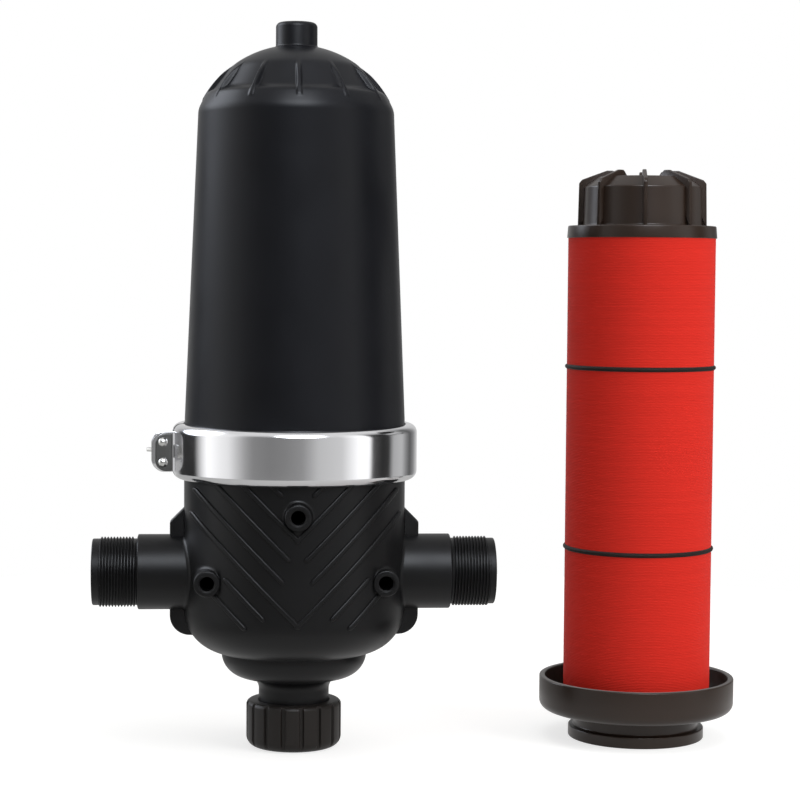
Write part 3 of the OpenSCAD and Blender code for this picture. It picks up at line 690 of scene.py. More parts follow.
@kept
def rubber(name, tone):
    """Moulded rubber: nearly matt, with a faint bloom of fine powder in patches."""
    made, tree, shader, where = start_finish(name)
    bloom = add(tree, "ShaderNodeTexNoise", {"Vector": where, "Scale": grain(8), "Detail": 4})
    tint = add(tree, "ShaderNodeMix", {0: bloom, **tints(tone, 0.8, 1.25)}, data_type="RGBA")
    gloss = add(tree, "ShaderNodeMapRange", (bloom, 0.3, 0.7, 0.5, 0.65))
    wire(tree, shader, {"Base Color": tint.outputs[2], "Roughness": gloss, "Specular IOR Level": 0.12})
    return made


def cartridge_plastic():
    """Finish of dish, sleeve and knob."""
    return moulded_plastic("dark brown polypropylene, cartridge", settings().finish.cartridge,
                           roughness=0.32, shine=0.35)


def bright_steel():
    """Finish of rivets, bolt, washer and wing nut."""
    return rolled_steel("bright steel, rivets and screw", settings().finish.rivet, roughness=0.2,
                        lines_mm=0.8)


# Housing body

def wall_radius(height):
    """Outside radius of the body: its own radius, and below the bowl's centre c + sqrt(r^2 - d^2)."""
    size = settings().body
    drop = np.clip(size.bowl_height - height, 0, size.bowl_round)
    return size.radius - size.bowl_round + np.sqrt(size.bowl_round ** 2 - drop ** 2)


def wall_front(x, height, draw=0.0):
    """Depth y of the body's front at x and a height: -sqrt(R(z)^2 - x^2), R less a draw inwards."""
    return -np.sqrt(np.maximum((wall_radius(height) - draw) ** 2 - x ** 2, 0))


def band_heights():
    """Heights of the band's lower and upper edge."""
    low, high = box_of("clamp_band")
    return low[2], high[2]


def port_end():
    """Distance of a port's end from the axis."""
    return box_of("filter_body")[1][0]


def body_profile():
    """Closed profile of the turned wall, up its outside and down its inside."""
    size = settings().body
    bowl = (size.radius - size.bowl_round, size.bowl_height)
    sump = (size.sump_radius - size.sump_round, size.sump_height + size.sump_round)
    neck = (size.neck_radius + size.neck_fillet, size.sump_height - size.neck_fillet)
    neck_end = settings().cap.floor + size.neck_gap
    flange_low = band_heights()[0] + settings().closure.band_sheet + FIT
    outer_turn = -math.degrees(math.acos((size.sump_radius - bowl[0]) / size.bowl_round))
    seat_out = size.sump_radius - size.wall + size.seat_width
    inner_round = size.bowl_round - size.wall
    inner_turn = -math.degrees(math.acos((seat_out - bowl[0]) / inner_round))
    outside = np.concatenate((
        arc((size.neck_radius - size.edge, neck_end + size.edge), size.edge, -90, 0, 5),
        arc(neck, size.neck_fillet, 180, 90, 16),
        arc(sump, size.sump_round, -90, 0, 20),
        arc(bowl, size.bowl_round, outer_turn, 0, 28),
        [[size.radius, flange_low], [size.flange_radius - size.flange_chamfer, flange_low],
         [size.flange_radius, flange_low + size.flange_chamfer], [size.flange_radius, size.joint_height]]))
    inside = np.concatenate((
        [[size.neck_bore, neck_end], [size.neck_bore, size.sump_height + size.wall]],
        arc(sump, size.sump_round - size.wall, -90, 0, 14),
        [[size.sump_radius - size.wall, size.seat_height], [seat_out, size.seat_height]],
        arc(bowl, inner_round, inner_turn, 0, 20),
        [[size.radius - size.wall, size.joint_height]]))
    return np.concatenate((outside, inside[::-1]))


def port_grid():
    """One port along +X: bore, rounded tip, step behind the thread, tube and the fillet onto the wall.

    The fillet runs r = tube + f (1 - cos t), x = wall(r) + f (1 - sin t) over a quarter turn t."""
    size, port = settings().body, settings().port
    edge, inside = size.edge, size.wall + 0.5 * MM
    tip = port_end() - edge
    groove, step, rise = port.thread_start - 0.4 * MM, port.thread_start - 1.4 * MM, 0.2 * MM
    a = round_angles(144)

    def wall(radius, draw=0.0):
        return np.sqrt((size.radius - draw) ** 2 - (radius * np.sin(a)) ** 2)

    rows = [(port.bore, wall(port.bore, inside)), (port.bore, tip),
            *arc((port.bore + edge, tip), edge, 180, 90, 5), *arc((port.tip - edge, tip), edge, 90, 0, 5),
            (port.tip, groove), (port.tip + rise, groove - FIT),
            *arc((port.tube - edge, step - edge), edge, 60, 0, 5)]
    for t in quarter(8):
        radius = port.tube + size.fillet * (1 - math.cos(t))
        rows.append((radius, wall(radius) + size.fillet * (1 - math.sin(t))))
    rows.append((port.tube + size.fillet, wall(port.tube + size.fillet, ROOT)))
    r, x = full_rows(rows, a)
    return np.stack((x, r * np.sin(a), port.height + r * np.cos(a)), axis=-1)


def thread_grid():
    """A port's thread: a ridge swept along the helix x = start + pitch t, turned 2 pi t, and sunk into the
    port's plain end. Its height grows over a fifth of a turn and runs out over half a turn."""
    port = settings().port
    start, spare, grow, run_out, per_turn, sink = 0.2, 0.6, 0.2, 0.5, 90, 0.4 * MM
    turns = (port.thread_end - port.thread_start) / port.pitch - spare
    t = np.linspace(0, turns, int(per_turn * turns))[:, None]
    full = smooth_step(0, grow, t) * smooth_step(turns, turns - run_out, t)
    # Points of the ridge's section: place on the pitch, share of the height, and which ones are sunk
    share = np.array([-0.46, -0.4, -0.12, 0.12, 0.4, 0.46])
    height = np.array([0, 0, 1, 1, 0, 0])
    foot = np.array([1, 0, 0, 0, 0, 1])
    r = port.tip + (port.crest - port.tip) * height * full - sink * foot
    x = port.thread_start + port.pitch * (t + start + share)
    a = 2 * np.pi * t
    return np.stack((x, r * np.sin(a), port.height + r * np.cos(a)), axis=-1)


def tap_grid(x, height, out):
    """One tap boss along -Y: bore, chamfered mouth, rounded lip, side and the fillet onto the wall. The
    fillet is held smaller where the wall comes close to the boss's face."""
    tap, size = settings().tap, settings().body
    a = round_angles(72)
    face = float(wall_front(np.array(x), np.array(height))) - out
    inside, mouth_edge, share, least = size.wall + 0.4 * MM, 0.25 * MM, 0.6, 0.1 * MM

    def wall(radius, draw=0.0):
        return wall_front(x + radius * np.cos(a), height + radius * np.sin(a), draw)

    rows = [(tap.bore, wall(tap.bore, inside)), (tap.bore, face + tap.mouth - tap.bore),
            (tap.mouth, face + mouth_edge), (tap.mouth + FIT, face),
            *arc((tap.radius - tap.lip, face + tap.lip), tap.lip, -90, 0, 6)]
    fillet = np.clip(share * (wall(tap.radius) - face - tap.lip), least, size.fillet)
    for t in quarter(7):
        radius = tap.radius + fillet * (1 - math.cos(t))
        rows.append((radius, wall(radius) - fillet * (1 - math.sin(t))))
    rows.append((tap.radius + fillet, wall(tap.radius + fillet, ROOT)))
    r, y = full_rows(rows, a)
    return np.stack((x + r * np.cos(a), y, height + r * np.sin(a)), axis=-1)


def web_grid():
    """The plate that ties a port to the wall: its outline with both rims rounded, and its foot inside the
    wall. Columns come out as (x, thickness, z)."""
    port, size = settings().port, settings().body
    inner = size.radius - ROOT
    low = size.bowl_height - port.web_drop
    slope = port.web_reach - size.radius
    foot = float(wall_radius(np.array(low))) - 2 * ROOT
    hidden, corner = 0.4 * MM, 3 * MM
    outline = rounded([(foot, low, hidden), (port.web_reach, low, port.web_round),
                       (port.web_reach, port.web_top - slope, corner),
                       (inner, port.web_top + ROOT, hidden), (inner, port.height, hidden)], 10)
    return slab(outline, -port.web_half, port.web_half, port.web_edge)


def rib_grid(apex, start, end, side):
    """One arm of a chevron: a strip along z = apex + s, x = side s on the body's front, s from start to end.

    Across the strip the height is (1 - q^4)^(1/2) of the rib's height, q from -1 to 1, and near its two
    ends width and height shrink as a half circle."""
    rib = settings().rib
    half, sink, crowd = rib.width / 2, 1.2 * MM, 1.6
    along = np.concatenate((start - half * np.cos(quarter(7)), np.linspace(start, end, 24)[1:-1],
                            end + half * np.sin(quarter(7))))[:, None]
    near = np.clip((start - along) / half, 0, 1) + np.clip((along - end) / half, 0, 1)
    shrink = np.sqrt(np.maximum(1 - near ** 2, 0))
    t = np.linspace(-1, 1, 13)[None]
    # Columns lie closer together towards the strip's two edges
    q = np.sign(t) * (1 - (1 - np.abs(t)) ** crowd)
    step = q * half * shrink / math.sqrt(2)
    x = side * (along + step)
    z = apex + along - step
    y = wall_front(x, z)
    lift = rib.height * (1 - q ** 4) ** 0.5 * shrink ** 0.5
    top, foot = (1 + rise / wall_radius(z) for rise in (lift, -sink))
    return np.concatenate((np.stack((x * top, y * top, z), axis=-1),
                           np.stack((x * foot, y * foot, z), axis=-1)[:, ::-1]), axis=1)


class DISCFILTER_OT_body(bpy.types.Operator):
    """Builds the moulded body with its threaded ports, tap bosses, webs and chevron ribs"""
    bl_idname = "disc_filter.body"
    bl_label = "Body"

    def execute(self, context):
        size, port, tap, rib = (getattr(settings(), k) for k in ("body", "port", "tap", "rib"))
        taps = [(0.0, tap.middle_height, tap.middle_out)]
        taps += [(s * tap.side_place, tap.side_height, tap.side_out) for s in (-1, 1)]
        piece = solid("moulded_body", (turned(body_profile(), round_angles(256)), "loop"))
        ease, outside, inside = 0.4 * MM, -2 * size.radius, -20 * MM
        end = port_end()
        drills = [rod((-end, 0, port.height), (end, 0, port.height), port.bore + ease, 0)]
        drills += [rod((x, outside, z), (x, inside, z), tap.bore + ease, 1) for x, z, _ in taps]
        for drill in drills:
            cut(piece, solid("drill", (drill, "pole")))
        halves = (0, math.pi)
        shapes = ((port_grid(), "loop"), (web_grid(), "cap"), (thread_grid(), "cap"))
        parts = [(turn_about_z(grid, turn), ends) for grid, ends in shapes for turn in halves]
        parts += [(tap_grid(*tap_place), "loop") for tap_place in taps]
        for i, (start, stop) in enumerate(np.array(CHEVRONS) * MM):
            apex = rib.first - i * rib.pitch
            parts += [(rib_grid(apex, start, stop, side), "pole") for side in (-1, 1)]
        merge(piece, solid("body_details", *parts))
        finish = moulded_plastic("black polypropylene, body", settings().finish.body, roughness=0.37)
        dress(piece, finish, "filter", "body_plastic", "filter_body")
        return {"FINISHED"}


# Cover

def pocket_radius(polar):
    """Distance from the dome's centre to the pockets' floor along a polar angle: the chord from the
    pockets' upper edge to their ledge, the level ledge, and the dome itself above and below them."""
    size = settings().cover
    high = math.sqrt(size.dome_radius ** 2 - size.pocket_in ** 2)
    low = math.sqrt(size.dome_radius ** 2 - size.pocket_out ** 2)
    inner = size.pocket_out - size.pocket_depth
    first, last = np.array([size.pocket_in, high]), np.array([inner, low])
    normal = np.array([high - low, inner - size.pocket_in])
    chord = normal @ first / (normal[0] * np.sin(polar) + normal[1] * np.cos(polar))
    ledge = low / np.cos(polar)
    floor = np.where(polar < math.atan2(*last), chord, ledge)
    held = (polar > math.atan2(*first)) & (polar < math.atan2(size.pocket_out, low))
    return np.where(held, np.minimum(floor, size.dome_radius), size.dome_radius)


def dome_radii(polar):
    """Radii of the dome along a polar angle between its ribs and on them. The pockets' corners are
    softened by a running mean, and a rib rises over some degrees and ends at once."""
    size = settings().cover
    soft = np.hanning(19)[1:-1]
    pocket = np.pad(pocket_radius(polar), len(soft) // 2, mode="edge")
    pocket = np.convolve(pocket, soft / soft.sum(), mode="valid")
    rise, fall = math.radians(9), math.radians(1.2)
    start = math.asin(size.pocket_in / size.dome_radius)
    end = math.asin(size.rib_end / size.dome_radius)
    window = smooth_step(start, start + rise, polar) * smooth_step(end + fall, end - fall, polar)
    return pocket, size.dome_radius + size.rib_proud * window


def cover_profiles():
    """Profiles of the cover between its ribs and on them, from the nub's middle down the outside and up
    the inside."""
    size, body = settings().cover, settings().body
    band_top = band_heights()[1]
    top = box_of("cover")[1][2]
    centre = size.dome_top - size.dome_radius
    round_r = size.top_radius - size.shoulder
    round_z = centre + math.sqrt((size.dome_radius - size.shoulder) ** 2 - round_r ** 2)
    start = math.asin((size.nub_radius + size.nub_fillet) / size.dome_radius)
    end = math.atan2(round_r, round_z - centre)
    polar = np.linspace(start, end, 124)
    foot_z = centre + size.dome_radius * math.cos(start)
    nub = np.concatenate((
        [[0, top]], arc((size.nub_radius - size.nub_round, top - size.nub_round), size.nub_round, 90, 8, 9),
        arc((size.nub_radius + size.nub_fillet, foot_z + size.nub_fillet), size.nub_fillet, 182, 262, 5)))
    flange_high = band_top - settings().closure.band_sheet - FIT
    seal_gap = 0.2 * MM
    joint = body.joint_height + seal_gap
    taper = band_top + size.straight
    side = np.concatenate((
        arc((round_r, round_z), size.shoulder, 90 - math.degrees(end), 0, 12)[1:],
        [[size.low_radius, taper], [size.low_radius, flange_high],
         [body.flange_radius - body.flange_chamfer, flange_high],
         [body.flange_radius, flange_high - body.flange_chamfer], [body.flange_radius, joint],
         [size.low_radius - size.wall, joint], [size.low_radius - size.wall, taper]]))
    inner_turn = math.degrees(math.acos((size.top_radius - size.wall) / size.inner_dome))
    inside = arc((0, size.dome_top - size.dome_wall - size.inner_dome), size.inner_dome, inner_turn, 90, 24)
    inside[-1, 0] = 0
    domes = [np.column_stack((r * np.sin(polar), centre + r * np.cos(polar))) for r in dome_radii(polar)]
    return [np.concatenate((nub, dome, side, inside)) for dome in domes]


def cover_grid():
    """The cover's columns, each between the two profiles: on a rib's profile near its middle line, on the
    pockets' profile between ribs, with a smooth step from one to the other."""
    size = settings().cover
    base, ribbed = cover_profiles()
    offsets = both_ways([0, 0.4, 0.8, 1.15, 1.5, 1.85, 2.2, 2.6, 3, 3.4, 4])
    outer_flank, inner_flank, least_radius = 1.6 * MM, 0.9 * MM, 30 * MM
    angles, distance = ribbed_angles(np.maximum(base[:, 0], least_radius), size.ribs, FRONT, offsets, 8)
    mask = smooth_step(size.rib_half + outer_flank, size.rib_half - inner_flank, distance)[None]
    r, z = (base[:, k:k + 1] + (ribbed - base)[:, k:k + 1] * mask for k in (0, 1))
    return np.stack((r * np.cos(angles), r * np.sin(angles), z), axis=-1)


class DISCFILTER_OT_cover(bpy.types.Operator):
    """Builds the tall cover with its ribbed dome and nub"""
    bl_idname = "disc_filter.cover"
    bl_label = "Cover"

    def execute(self, context):
        piece = solid("moulded_cover", (cover_grid(), "pole"), sharp=44)
        finish = moulded_plastic("black polypropylene, cover", settings().finish.cover, roughness=0.38)
        dress(piece, finish, "filter", "cover_plastic", "cover")
        return {"FINISHED"}


# Closure

def at_closure(points):
    """Points of the closure's frame, X out of it and Y to the front, turned into place."""
    return turn_about_z(points, settings().closure.angle)


def band_radius():
    """Outside radius of the band: its reach to the right, where nothing else stands out."""
    return box_of("clamp_band")[1][0]


def closure_middle():
    """Height of the band's middle and the bolt's distance from the axis."""
    return sum(band_heights()) / 2, band_radius() + settings().closure.bolt_out


def band_grid():
    """The band: a channel section with rounded lips, carried round from one side of its gap to the other."""
    size = settings().closure
    low, high = band_heights()
    out, sheet = band_radius(), size.band_sheet
    lip, inner_round = 0.5 * MM, size.band_round - sheet
    section = rounded([
        (size.lip_radius, low, lip), (out, low, size.band_round), (out, high, size.band_round),
        (size.lip_radius, high, lip), (size.lip_radius, high - sheet, lip),
        (out - sheet, high - sheet, inner_round), (out - sheet, low + sheet, inner_round),
        (size.lip_radius, low + sheet, lip)], 9)
    half = math.asin(size.gap / 2 / out)
    ring = turned(section, np.linspace(half, 2 * np.pi - half, 300))
    return at_closure(ring.transpose(1, 0, 2))


def end_plate(inner, outer, half, inner_round, outer_round):
    """Outline of an upright plate at the closure, rounded more at its outer corners."""
    middle = closure_middle()[0]
    return rounded([(inner, middle - half, inner_round), (outer, middle - half, outer_round),
                    (outer, middle + half, outer_round), (inner, middle + half, inner_round)], 10)


def tab_grids(side):
    """One bent end of the band: a flat tab with rounded corners and the bend that joins it to the band."""
    size = settings().closure
    middle, out = closure_middle()[0], band_radius()
    root, edge, overlap, play = out - 0.8 * MM, 0.3 * MM, 0.5 * MM, 0.4 * MM
    outline = end_plate(root, out + size.tab_reach, size.tab_half, edge, size.tab_round)
    faces = sorted((side * size.gap / 2, side * (size.gap / 2 + size.band_sheet)))
    foot = size.gap / 2 + size.band_sheet
    turn = out + size.bend - edge
    section = np.concatenate(([[root, foot + size.bend], [root, foot - overlap], [turn, foot - overlap]],
                              arc((turn, foot + size.bend), size.bend, 270, 180, 10)))
    x, y = section[:, 0], side * section[:, 1]
    heights = [middle + s * (size.tab_half - play) for s in (-1, 1)]
    bend = np.stack([np.column_stack((x, y, np.full(len(x), z))) for z in heights])
    return [(at_closure(slab(outline, *faces, edge, 3)), "cap"), (at_closure(bend), "cap")]


class DISCFILTER_OT_band(bpy.types.Operator):
    """Builds the steel band with its rounded lips and bent ends"""
    bl_idname = "disc_filter.band"
    bl_label = "Band"

    def execute(self, context):
        piece = solid("steel_band", (band_grid(), "cap"), *tab_grids(1), *tab_grids(-1))
        finish = rolled_steel("rolled stainless steel, band", settings().finish.steel, roughness=0.11,
                              lines_mm=0.5)
        dress(piece, finish, "filter", "band_steel", "clamp_band")
        return {"FINISHED"}


def lug_faces():
    """Distances of a lug's two faces from the middle of the gap."""
    size = settings().closure
    near = size.gap / 2 + size.band_sheet
    return near, near + size.lug_thick


class DISCFILTER_OT_lugs(bpy.types.Operator):
    """Builds the two coated lugs that the clamp screw pulls together"""
    bl_idname = "disc_filter.lugs"
    bl_label = "Lugs"

    def execute(self, context):
        size = settings().closure
        near, far = lug_faces()
        low, high = box_of("front_lug")
        half, corner = (high[2] - low[2]) / 2, 1.2 * MM
        outline = end_plate(band_radius() + size.bend, band_radius() + size.tab_reach - size.lug_inset,
                            half, corner, size.tab_round - size.lug_edge)
        finish = coated_steel("dark coated steel, lugs", settings().finish.lug)
        for name, low, high in (("front", near, far), ("rear", -far, -near)):
            plate = at_closure(slab(outline, low, high, size.lug_edge, 6))
            piece = solid(f"coated_{name}_lug", (plate, "cap"))
            dress(piece, finish, "filter", "lug_steel", f"{name}_lug")
            unmirrored(piece)
        return {"FINISHED"}


def across(profile, out, height, count=40):
    """A profile of (radius, depth) turned about a line along the closure's Y."""
    a = round_angles(count)
    x = out + profile[:, :1] * np.cos(a)
    z = height + profile[:, :1] * np.sin(a)
    return np.stack((x, np.broadcast_to(profile[:, 1:], x.shape), z), axis=-1)


class DISCFILTER_OT_rivets(bpy.types.Operator):
    """Builds the domed rivets of both lugs"""
    bl_idname = "disc_filter.rivets"
    bl_label = "Rivets"

    def execute(self, context):
        size = settings().closure
        middle, out = closure_middle()
        face, foot, shank = lug_faces()[1], size.gap / 2, size.rivet_shank
        dome = (size.rivet_radius ** 2 + size.rivet_rise ** 2) / (2 * size.rivet_rise)
        turn = math.degrees(math.asin(size.rivet_radius / dome))
        head = arc((0, face + size.rivet_rise - dome), dome, 90 - turn, 90, 10)
        head[-1, 0] = 0
        profile = np.concatenate(([[0, foot], [shank, foot], [shank, face], [size.rivet_radius, face]], head))
        heights = [middle + s * size.rivet_gap / 2 for s in (-1, 1)]
        for name, side in (("front", 1), ("rear", -1)):
            grids = [(at_closure(across(profile * [1, side], out, height)), "pole") for height in heights]
            piece = solid(f"domed_{name}_rivets", *grids)
            dress(piece, bright_steel(), "filter", "rivet_steel", f"{name}_rivets")
            unmirrored(piece)
        return {"FINISHED"}


def bolt_grids():
    """The clamp bolt: a shank whose depth of thread repeats with y / pitch - a / 2 pi, and a square head."""
    size = settings().closure
    middle, out = closure_middle()
    near, face = lug_faces()
    end, columns, point, draw = -(face + size.bolt_reach), 32, 0.8 * MM, MM
    a = round_angles(columns)
    y = np.linspace(end + point, -near, 300)[:, None]
    crest = 0.5 - np.abs((y / size.bolt_pitch - a / (2 * np.pi)) % 1 - 0.5)
    r = size.bolt_radius - size.bolt_depth * (1 - smooth_step(0.05, 0.5, crest))
    thread = np.stack((out + r * np.cos(a), np.broadcast_to(y, r.shape), middle + r * np.sin(a)), axis=-1)
    tip = across(np.array([[0, end], [size.bolt_radius - draw, end]]), out, middle, columns)
    plain = np.array([[size.bolt_radius, -near], [size.bolt_radius, near], [0, near]])
    shank = np.concatenate((tip, thread, across(plain, out, middle, columns)))
    half, corner, edge = size.bolt_head, 0.5 * MM, 0.3 * MM
    corners = ((-1, -1), (1, -1), (1, 1), (-1, 1))
    square = rounded([(out + i * half, middle + j * half, corner) for i, j in corners], 4)
    head = slab(square, near, near + size.head_thick, edge, 3)
    return [(at_closure(shank), "pole"), (at_closure(head), "cap")]


class DISCFILTER_OT_screw(bpy.types.Operator):
    """Builds the clamp screw with its thread, washer and wing nut"""
    bl_idname = "disc_filter.screw"
    bl_label = "Clamp screw"

    def execute(self, context):
        dress(solid("threaded_bolt", *bolt_grids()), bright_steel(), "filter", "rivet_steel", "clamp_bolt")
        for name, node, body in (("steel_washer", "clamp_washer", "nut_washer"),
                                 ("steel_wing_nut", "wing_nut", "nut")):
            piece = copy_node(name, node)
            soften = piece.modifiers.new("edges", "BEVEL")
            soften.width = 0.35 * MM
            soften.segments = 3
            soften.limit_method = "ANGLE"
            soften.angle_limit = math.radians(COPY_SHARP)
            dress(piece, bright_steel(), body, "rivet_steel", node)
        return {"FINISHED"}


# Drain cap

def cap_grid():
    """The drain cap's columns: the turned profile, drawn in to the grooves' floor near a groove's middle."""
    size = settings().cap
    radius, low, top = round_size("drain_cap")
    bore = settings().body.neck_radius + FIT
    heights = np.linspace(low + size.low_round, top - size.top_round, 10)[1:-1]
    outside = np.concatenate((
        [[0, low]], arc((radius - size.low_round, low + size.low_round), size.low_round, -90, 0, 16),
        np.column_stack((np.full(len(heights), radius), heights)),
        arc((radius - size.top_round, top - size.top_round), size.top_round, 0, 90, 10)))
    inside = np.array([[bore + size.lead, top], [bore, top - size.lead], [bore, low + size.floor],
                       [0, low + size.floor]])
    profile = np.concatenate((outside, inside))
    grooved = (np.arange(len(profile)) < len(outside)) & (profile[:, 0] > radius - size.top_round)
    offsets = both_ways([0, 0.7, 1.2, 1.5, 1.8, 2.1, 2.6, 3.4])
    flank, least_radius = 0.55 * MM, 24 * MM
    first = FRONT + size.first * 2 * math.pi / size.grooves
    angles, distance = ribbed_angles(np.maximum(profile[:, 0], least_radius), size.grooves, first, offsets, 3)
    mask = smooth_step(size.groove_half + flank, size.groove_half - flank, distance)[None]
    floor = np.minimum(profile[:, 0], radius - size.groove_depth)
    r = profile[:, :1] + ((floor - profile[:, 0]) * grooved)[:, None] * mask
    z = np.broadcast_to(profile[:, 1:], r.shape)
    return np.stack((r * np.cos(angles), r * np.sin(angles), z), axis=-1)


class DISCFILTER_OT_cap(bpy.types.Operator):
    """Builds the drain cap with its grip grooves"""
    bl_idname = "disc_filter.cap"
    bl_label = "Drain cap"

    def execute(self, context):
        piece = solid("grooved_cap", (cap_grid(), "pole"))
        finish = moulded_plastic("black polypropylene, drain cap", settings().finish.cap, roughness=0.45)
        dress(piece, finish, "cap", "cap_plastic", "drain_cap")
        return {"FINISHED"}


# Cartridge

def cartridge_place():
    """Where the cartridge's axis stands."""
    low, high = box_of("cartridge_base")
    return ((low + high) / 2)[:2]


def round_the_cartridge(profile, count):
    """A profile carried round the cartridge's axis."""
    return turned(profile, round_angles(count), cartridge_place())


class DISCFILTER_OT_base(bpy.types.Operator):
    """Builds the cartridge's dish with its collar"""
    bl_idname = "disc_filter.base"
    bl_label = "Cartridge dish"

    def execute(self, context):
        size = settings().cartridge
        rim, foot, top = round_size("cartridge_base")
        floor = size.dish_height + size.dish_floor
        seat = floor - size.socket
        profile = rounded([
            (size.bore, foot, 0.6 * MM), (size.collar, foot, size.edge),
            (size.collar, size.collar_height, size.edge), (size.neck, size.collar_height, 1.5 * MM),
            (size.neck, size.dish_height, 2 * MM), (rim, size.dish_height, size.dish_round),
            (rim, top, size.edge), (rim - size.dish_wall, top, size.edge),
            (rim - size.dish_wall, floor, 3 * MM), (size.spine, floor, 0.3 * MM),
            (size.spine, seat, 0.2 * MM), (size.bore, seat, 0.2 * MM)], 8)
        piece = solid("moulded_dish", (round_the_cartridge(profile, 224), "loop"))
        dress(piece, cartridge_plastic(), "filter", "cartridge_plastic", "cartridge_base")
        return {"FINISHED"}


class DISCFILTER_OT_discs(bpy.types.Operator):
    """Builds the three runs of grooved discs, every disc with its own edge and its own radius"""
    bl_idname = "disc_filter.discs"
    bl_label = "Discs"

    def execute(self, context):
        size = settings().cartridge
        finish = red_discs("red polypropylene, discs", settings().finish.disc, size.disc_pitch)
        pick = np.random.default_rng(SEED)
        # Where a disc's groove and its rim's two edges lie on its pitch, and how deep each is
        share = np.array([0, 0.16, 0.84])
        depth = np.array([size.groove, 0, 0])
        for name in ("lower", "middle", "upper"):
            radius, low, high = round_size(f"{name}_discs")
            if name == "upper":
                high = box_of("cartridge_knob")[0][2]
            count = round((high - low) / size.disc_pitch)
            pitch = (high - low) / count
            foot = np.linspace(low, high, count + 1)[:-1, None]
            uneven = pick.uniform(0, size.uneven, (count, 1)) * np.array([0, 1, 1])
            edges = np.column_stack(((radius - depth - uneven).ravel(), (foot + share * pitch).ravel()))
            profile = np.concatenate((edges, [[radius - size.groove, high], [size.spine, high],
                                              [size.spine, low]]))
            piece = solid(f"{name}_disc_stack", (round_the_cartridge(profile, 160), "loop"))
            dress(piece, finish, "filter", "disc_plastic", f"{name}_discs")
            unmirrored(piece)
        return {"FINISHED"}


class DISCFILTER_OT_rings(bpy.types.Operator):
    """Builds the two rubber rings between the runs of discs"""
    bl_idname = "disc_filter.rings"
    bl_label = "Rings"

    def execute(self, context):
        spine = settings().cartridge.spine
        finish = rubber("black rubber, rings", settings().finish.ring)
        for name in ("lower", "upper"):
            radius, low, high = round_size(f"{name}_ring")
            half = (high - low) / 2
            bead = arc((radius - half, low + half), half, -90, 90, 12)
            profile = np.concatenate((bead, [[spine, high], [spine, low]]))
            piece = solid(f"{name}_rubber_ring", (round_the_cartridge(profile, 224), "loop"))
            dress(piece, finish, "filter", "ring_rubber", f"{name}_ring")
        return {"FINISHED"}


def knob_heights():
    """Heights of the knob's underside, the top of its flange, its shoulder and its flat top."""
    size = settings().cartridge
    low = round_size("cartridge_knob")[1]
    foot = low + size.knob_flange
    top = foot + size.knob_height
    return low, foot, top - size.knob_bevel, top


def knob_profile():
    """The knob's section: its bevelled top, side and flange, the seal's groove, and the hollow round the
    threaded hub."""
    size = settings().cartridge
    flange = round_size("cartridge_knob")[0]
    low, foot, shoulder, top = knob_heights()
    wall, lean = size.knob_wall, size.knob_taper
    top_r = size.knob - size.knob_draw
    roof, groove, hole = top - wall, low + size.seal_depth, low + size.screw_depth
    crisp, slight = 0.1 * MM, 0.3 * MM
    return rounded([
        (0, top, 0), (top_r, top, 3 * MM), (size.knob - lean, shoulder, 2 * MM), (size.knob, foot, 1.5 * MM),
        (flange - lean, foot, size.edge), (flange, low, slight), (size.seal_out, low, crisp),
        (size.seal_out, groove, crisp), (size.seal_in, groove, crisp), (size.seal_in, low, crisp),
        (size.knob - wall, low, crisp), (size.knob - wall - lean, roof - size.knob_bevel, MM),
        (top_r - 2 * MM, roof, MM), (size.hub, roof, 0.5 * MM), (size.hub, low, slight),
        (size.screw, low, slight), (size.screw, hole, slight), (0, hole, 0)], 7, closed=False)


def knob_rib():
    """A grip rib as a plate: up the knob's side, over its shoulder and up to the crest, with its foot in
    the knob's wall."""
    size = settings().cartridge
    foot, shoulder, top = knob_heights()[1:]
    crest = round_size("cartridge_knob")[2]
    out, wall = size.knob + size.rib_out, size.knob_wall
    sunk, slight, soft, edge = MM, 0.3 * MM, 2.5 * MM, 0.7 * MM
    outline = rounded([
        (out + size.knob_taper, foot - sunk, slight), (out, shoulder + 3.4 * MM, 2 * MM),
        (out - 2.5 * MM, shoulder + 6.4 * MM, 2 * MM), (size.rib_crest, crest, soft),
        (size.rib_crest - size.rib_top, crest, soft), (size.hub, top - sunk, slight),
        (size.knob - 2 * wall, shoulder - wall, slight), (size.knob - wall, foot - sunk, slight)], 6)
    return slab(outline, -size.rib_half, size.rib_half, edge)


class DISCFILTER_OT_knob(bpy.types.Operator):
    """Builds the ribbed knob that closes the cartridge"""
    bl_idname = "disc_filter.knob"
    bl_label = "Cartridge knob"

    def execute(self, context):
        size = settings().cartridge
        turns = size.rib_first + round_angles(size.ribs)
        ribs = [(turn_about_z(knob_rib(), turn, cartridge_place()), "cap") for turn in turns]
        piece = solid("ribbed_knob", (round_the_cartridge(knob_profile(), 224), "pole"), *ribs)
        dress(piece, cartridge_plastic(), "knob", "cartridge_plastic", "cartridge_knob")
        return {"FINISHED"}


class DISCFILTER_OT_inner(bpy.types.Operator):
    """Gives the seals, gasket and sleeve that keep their own shape their finishes"""
    bl_idname = "disc_filter.inner"
    bl_label = "Inner pieces"

    def execute(self, context):
        seal = rubber("black rubber, seals", settings().finish.seal)
        finishes = dict.fromkeys(("cover_seal", "seat_seal", "drain_gasket", "top_seal"), seal)
        finishes["spine"] = cartridge_plastic()
        for node, finish in finishes.items():
            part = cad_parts[node]
            part.data.materials.clear()
            part.data.materials.append(finish)
        unmirrored(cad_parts["spine"])
        return {"FINISHED"}


# Stage

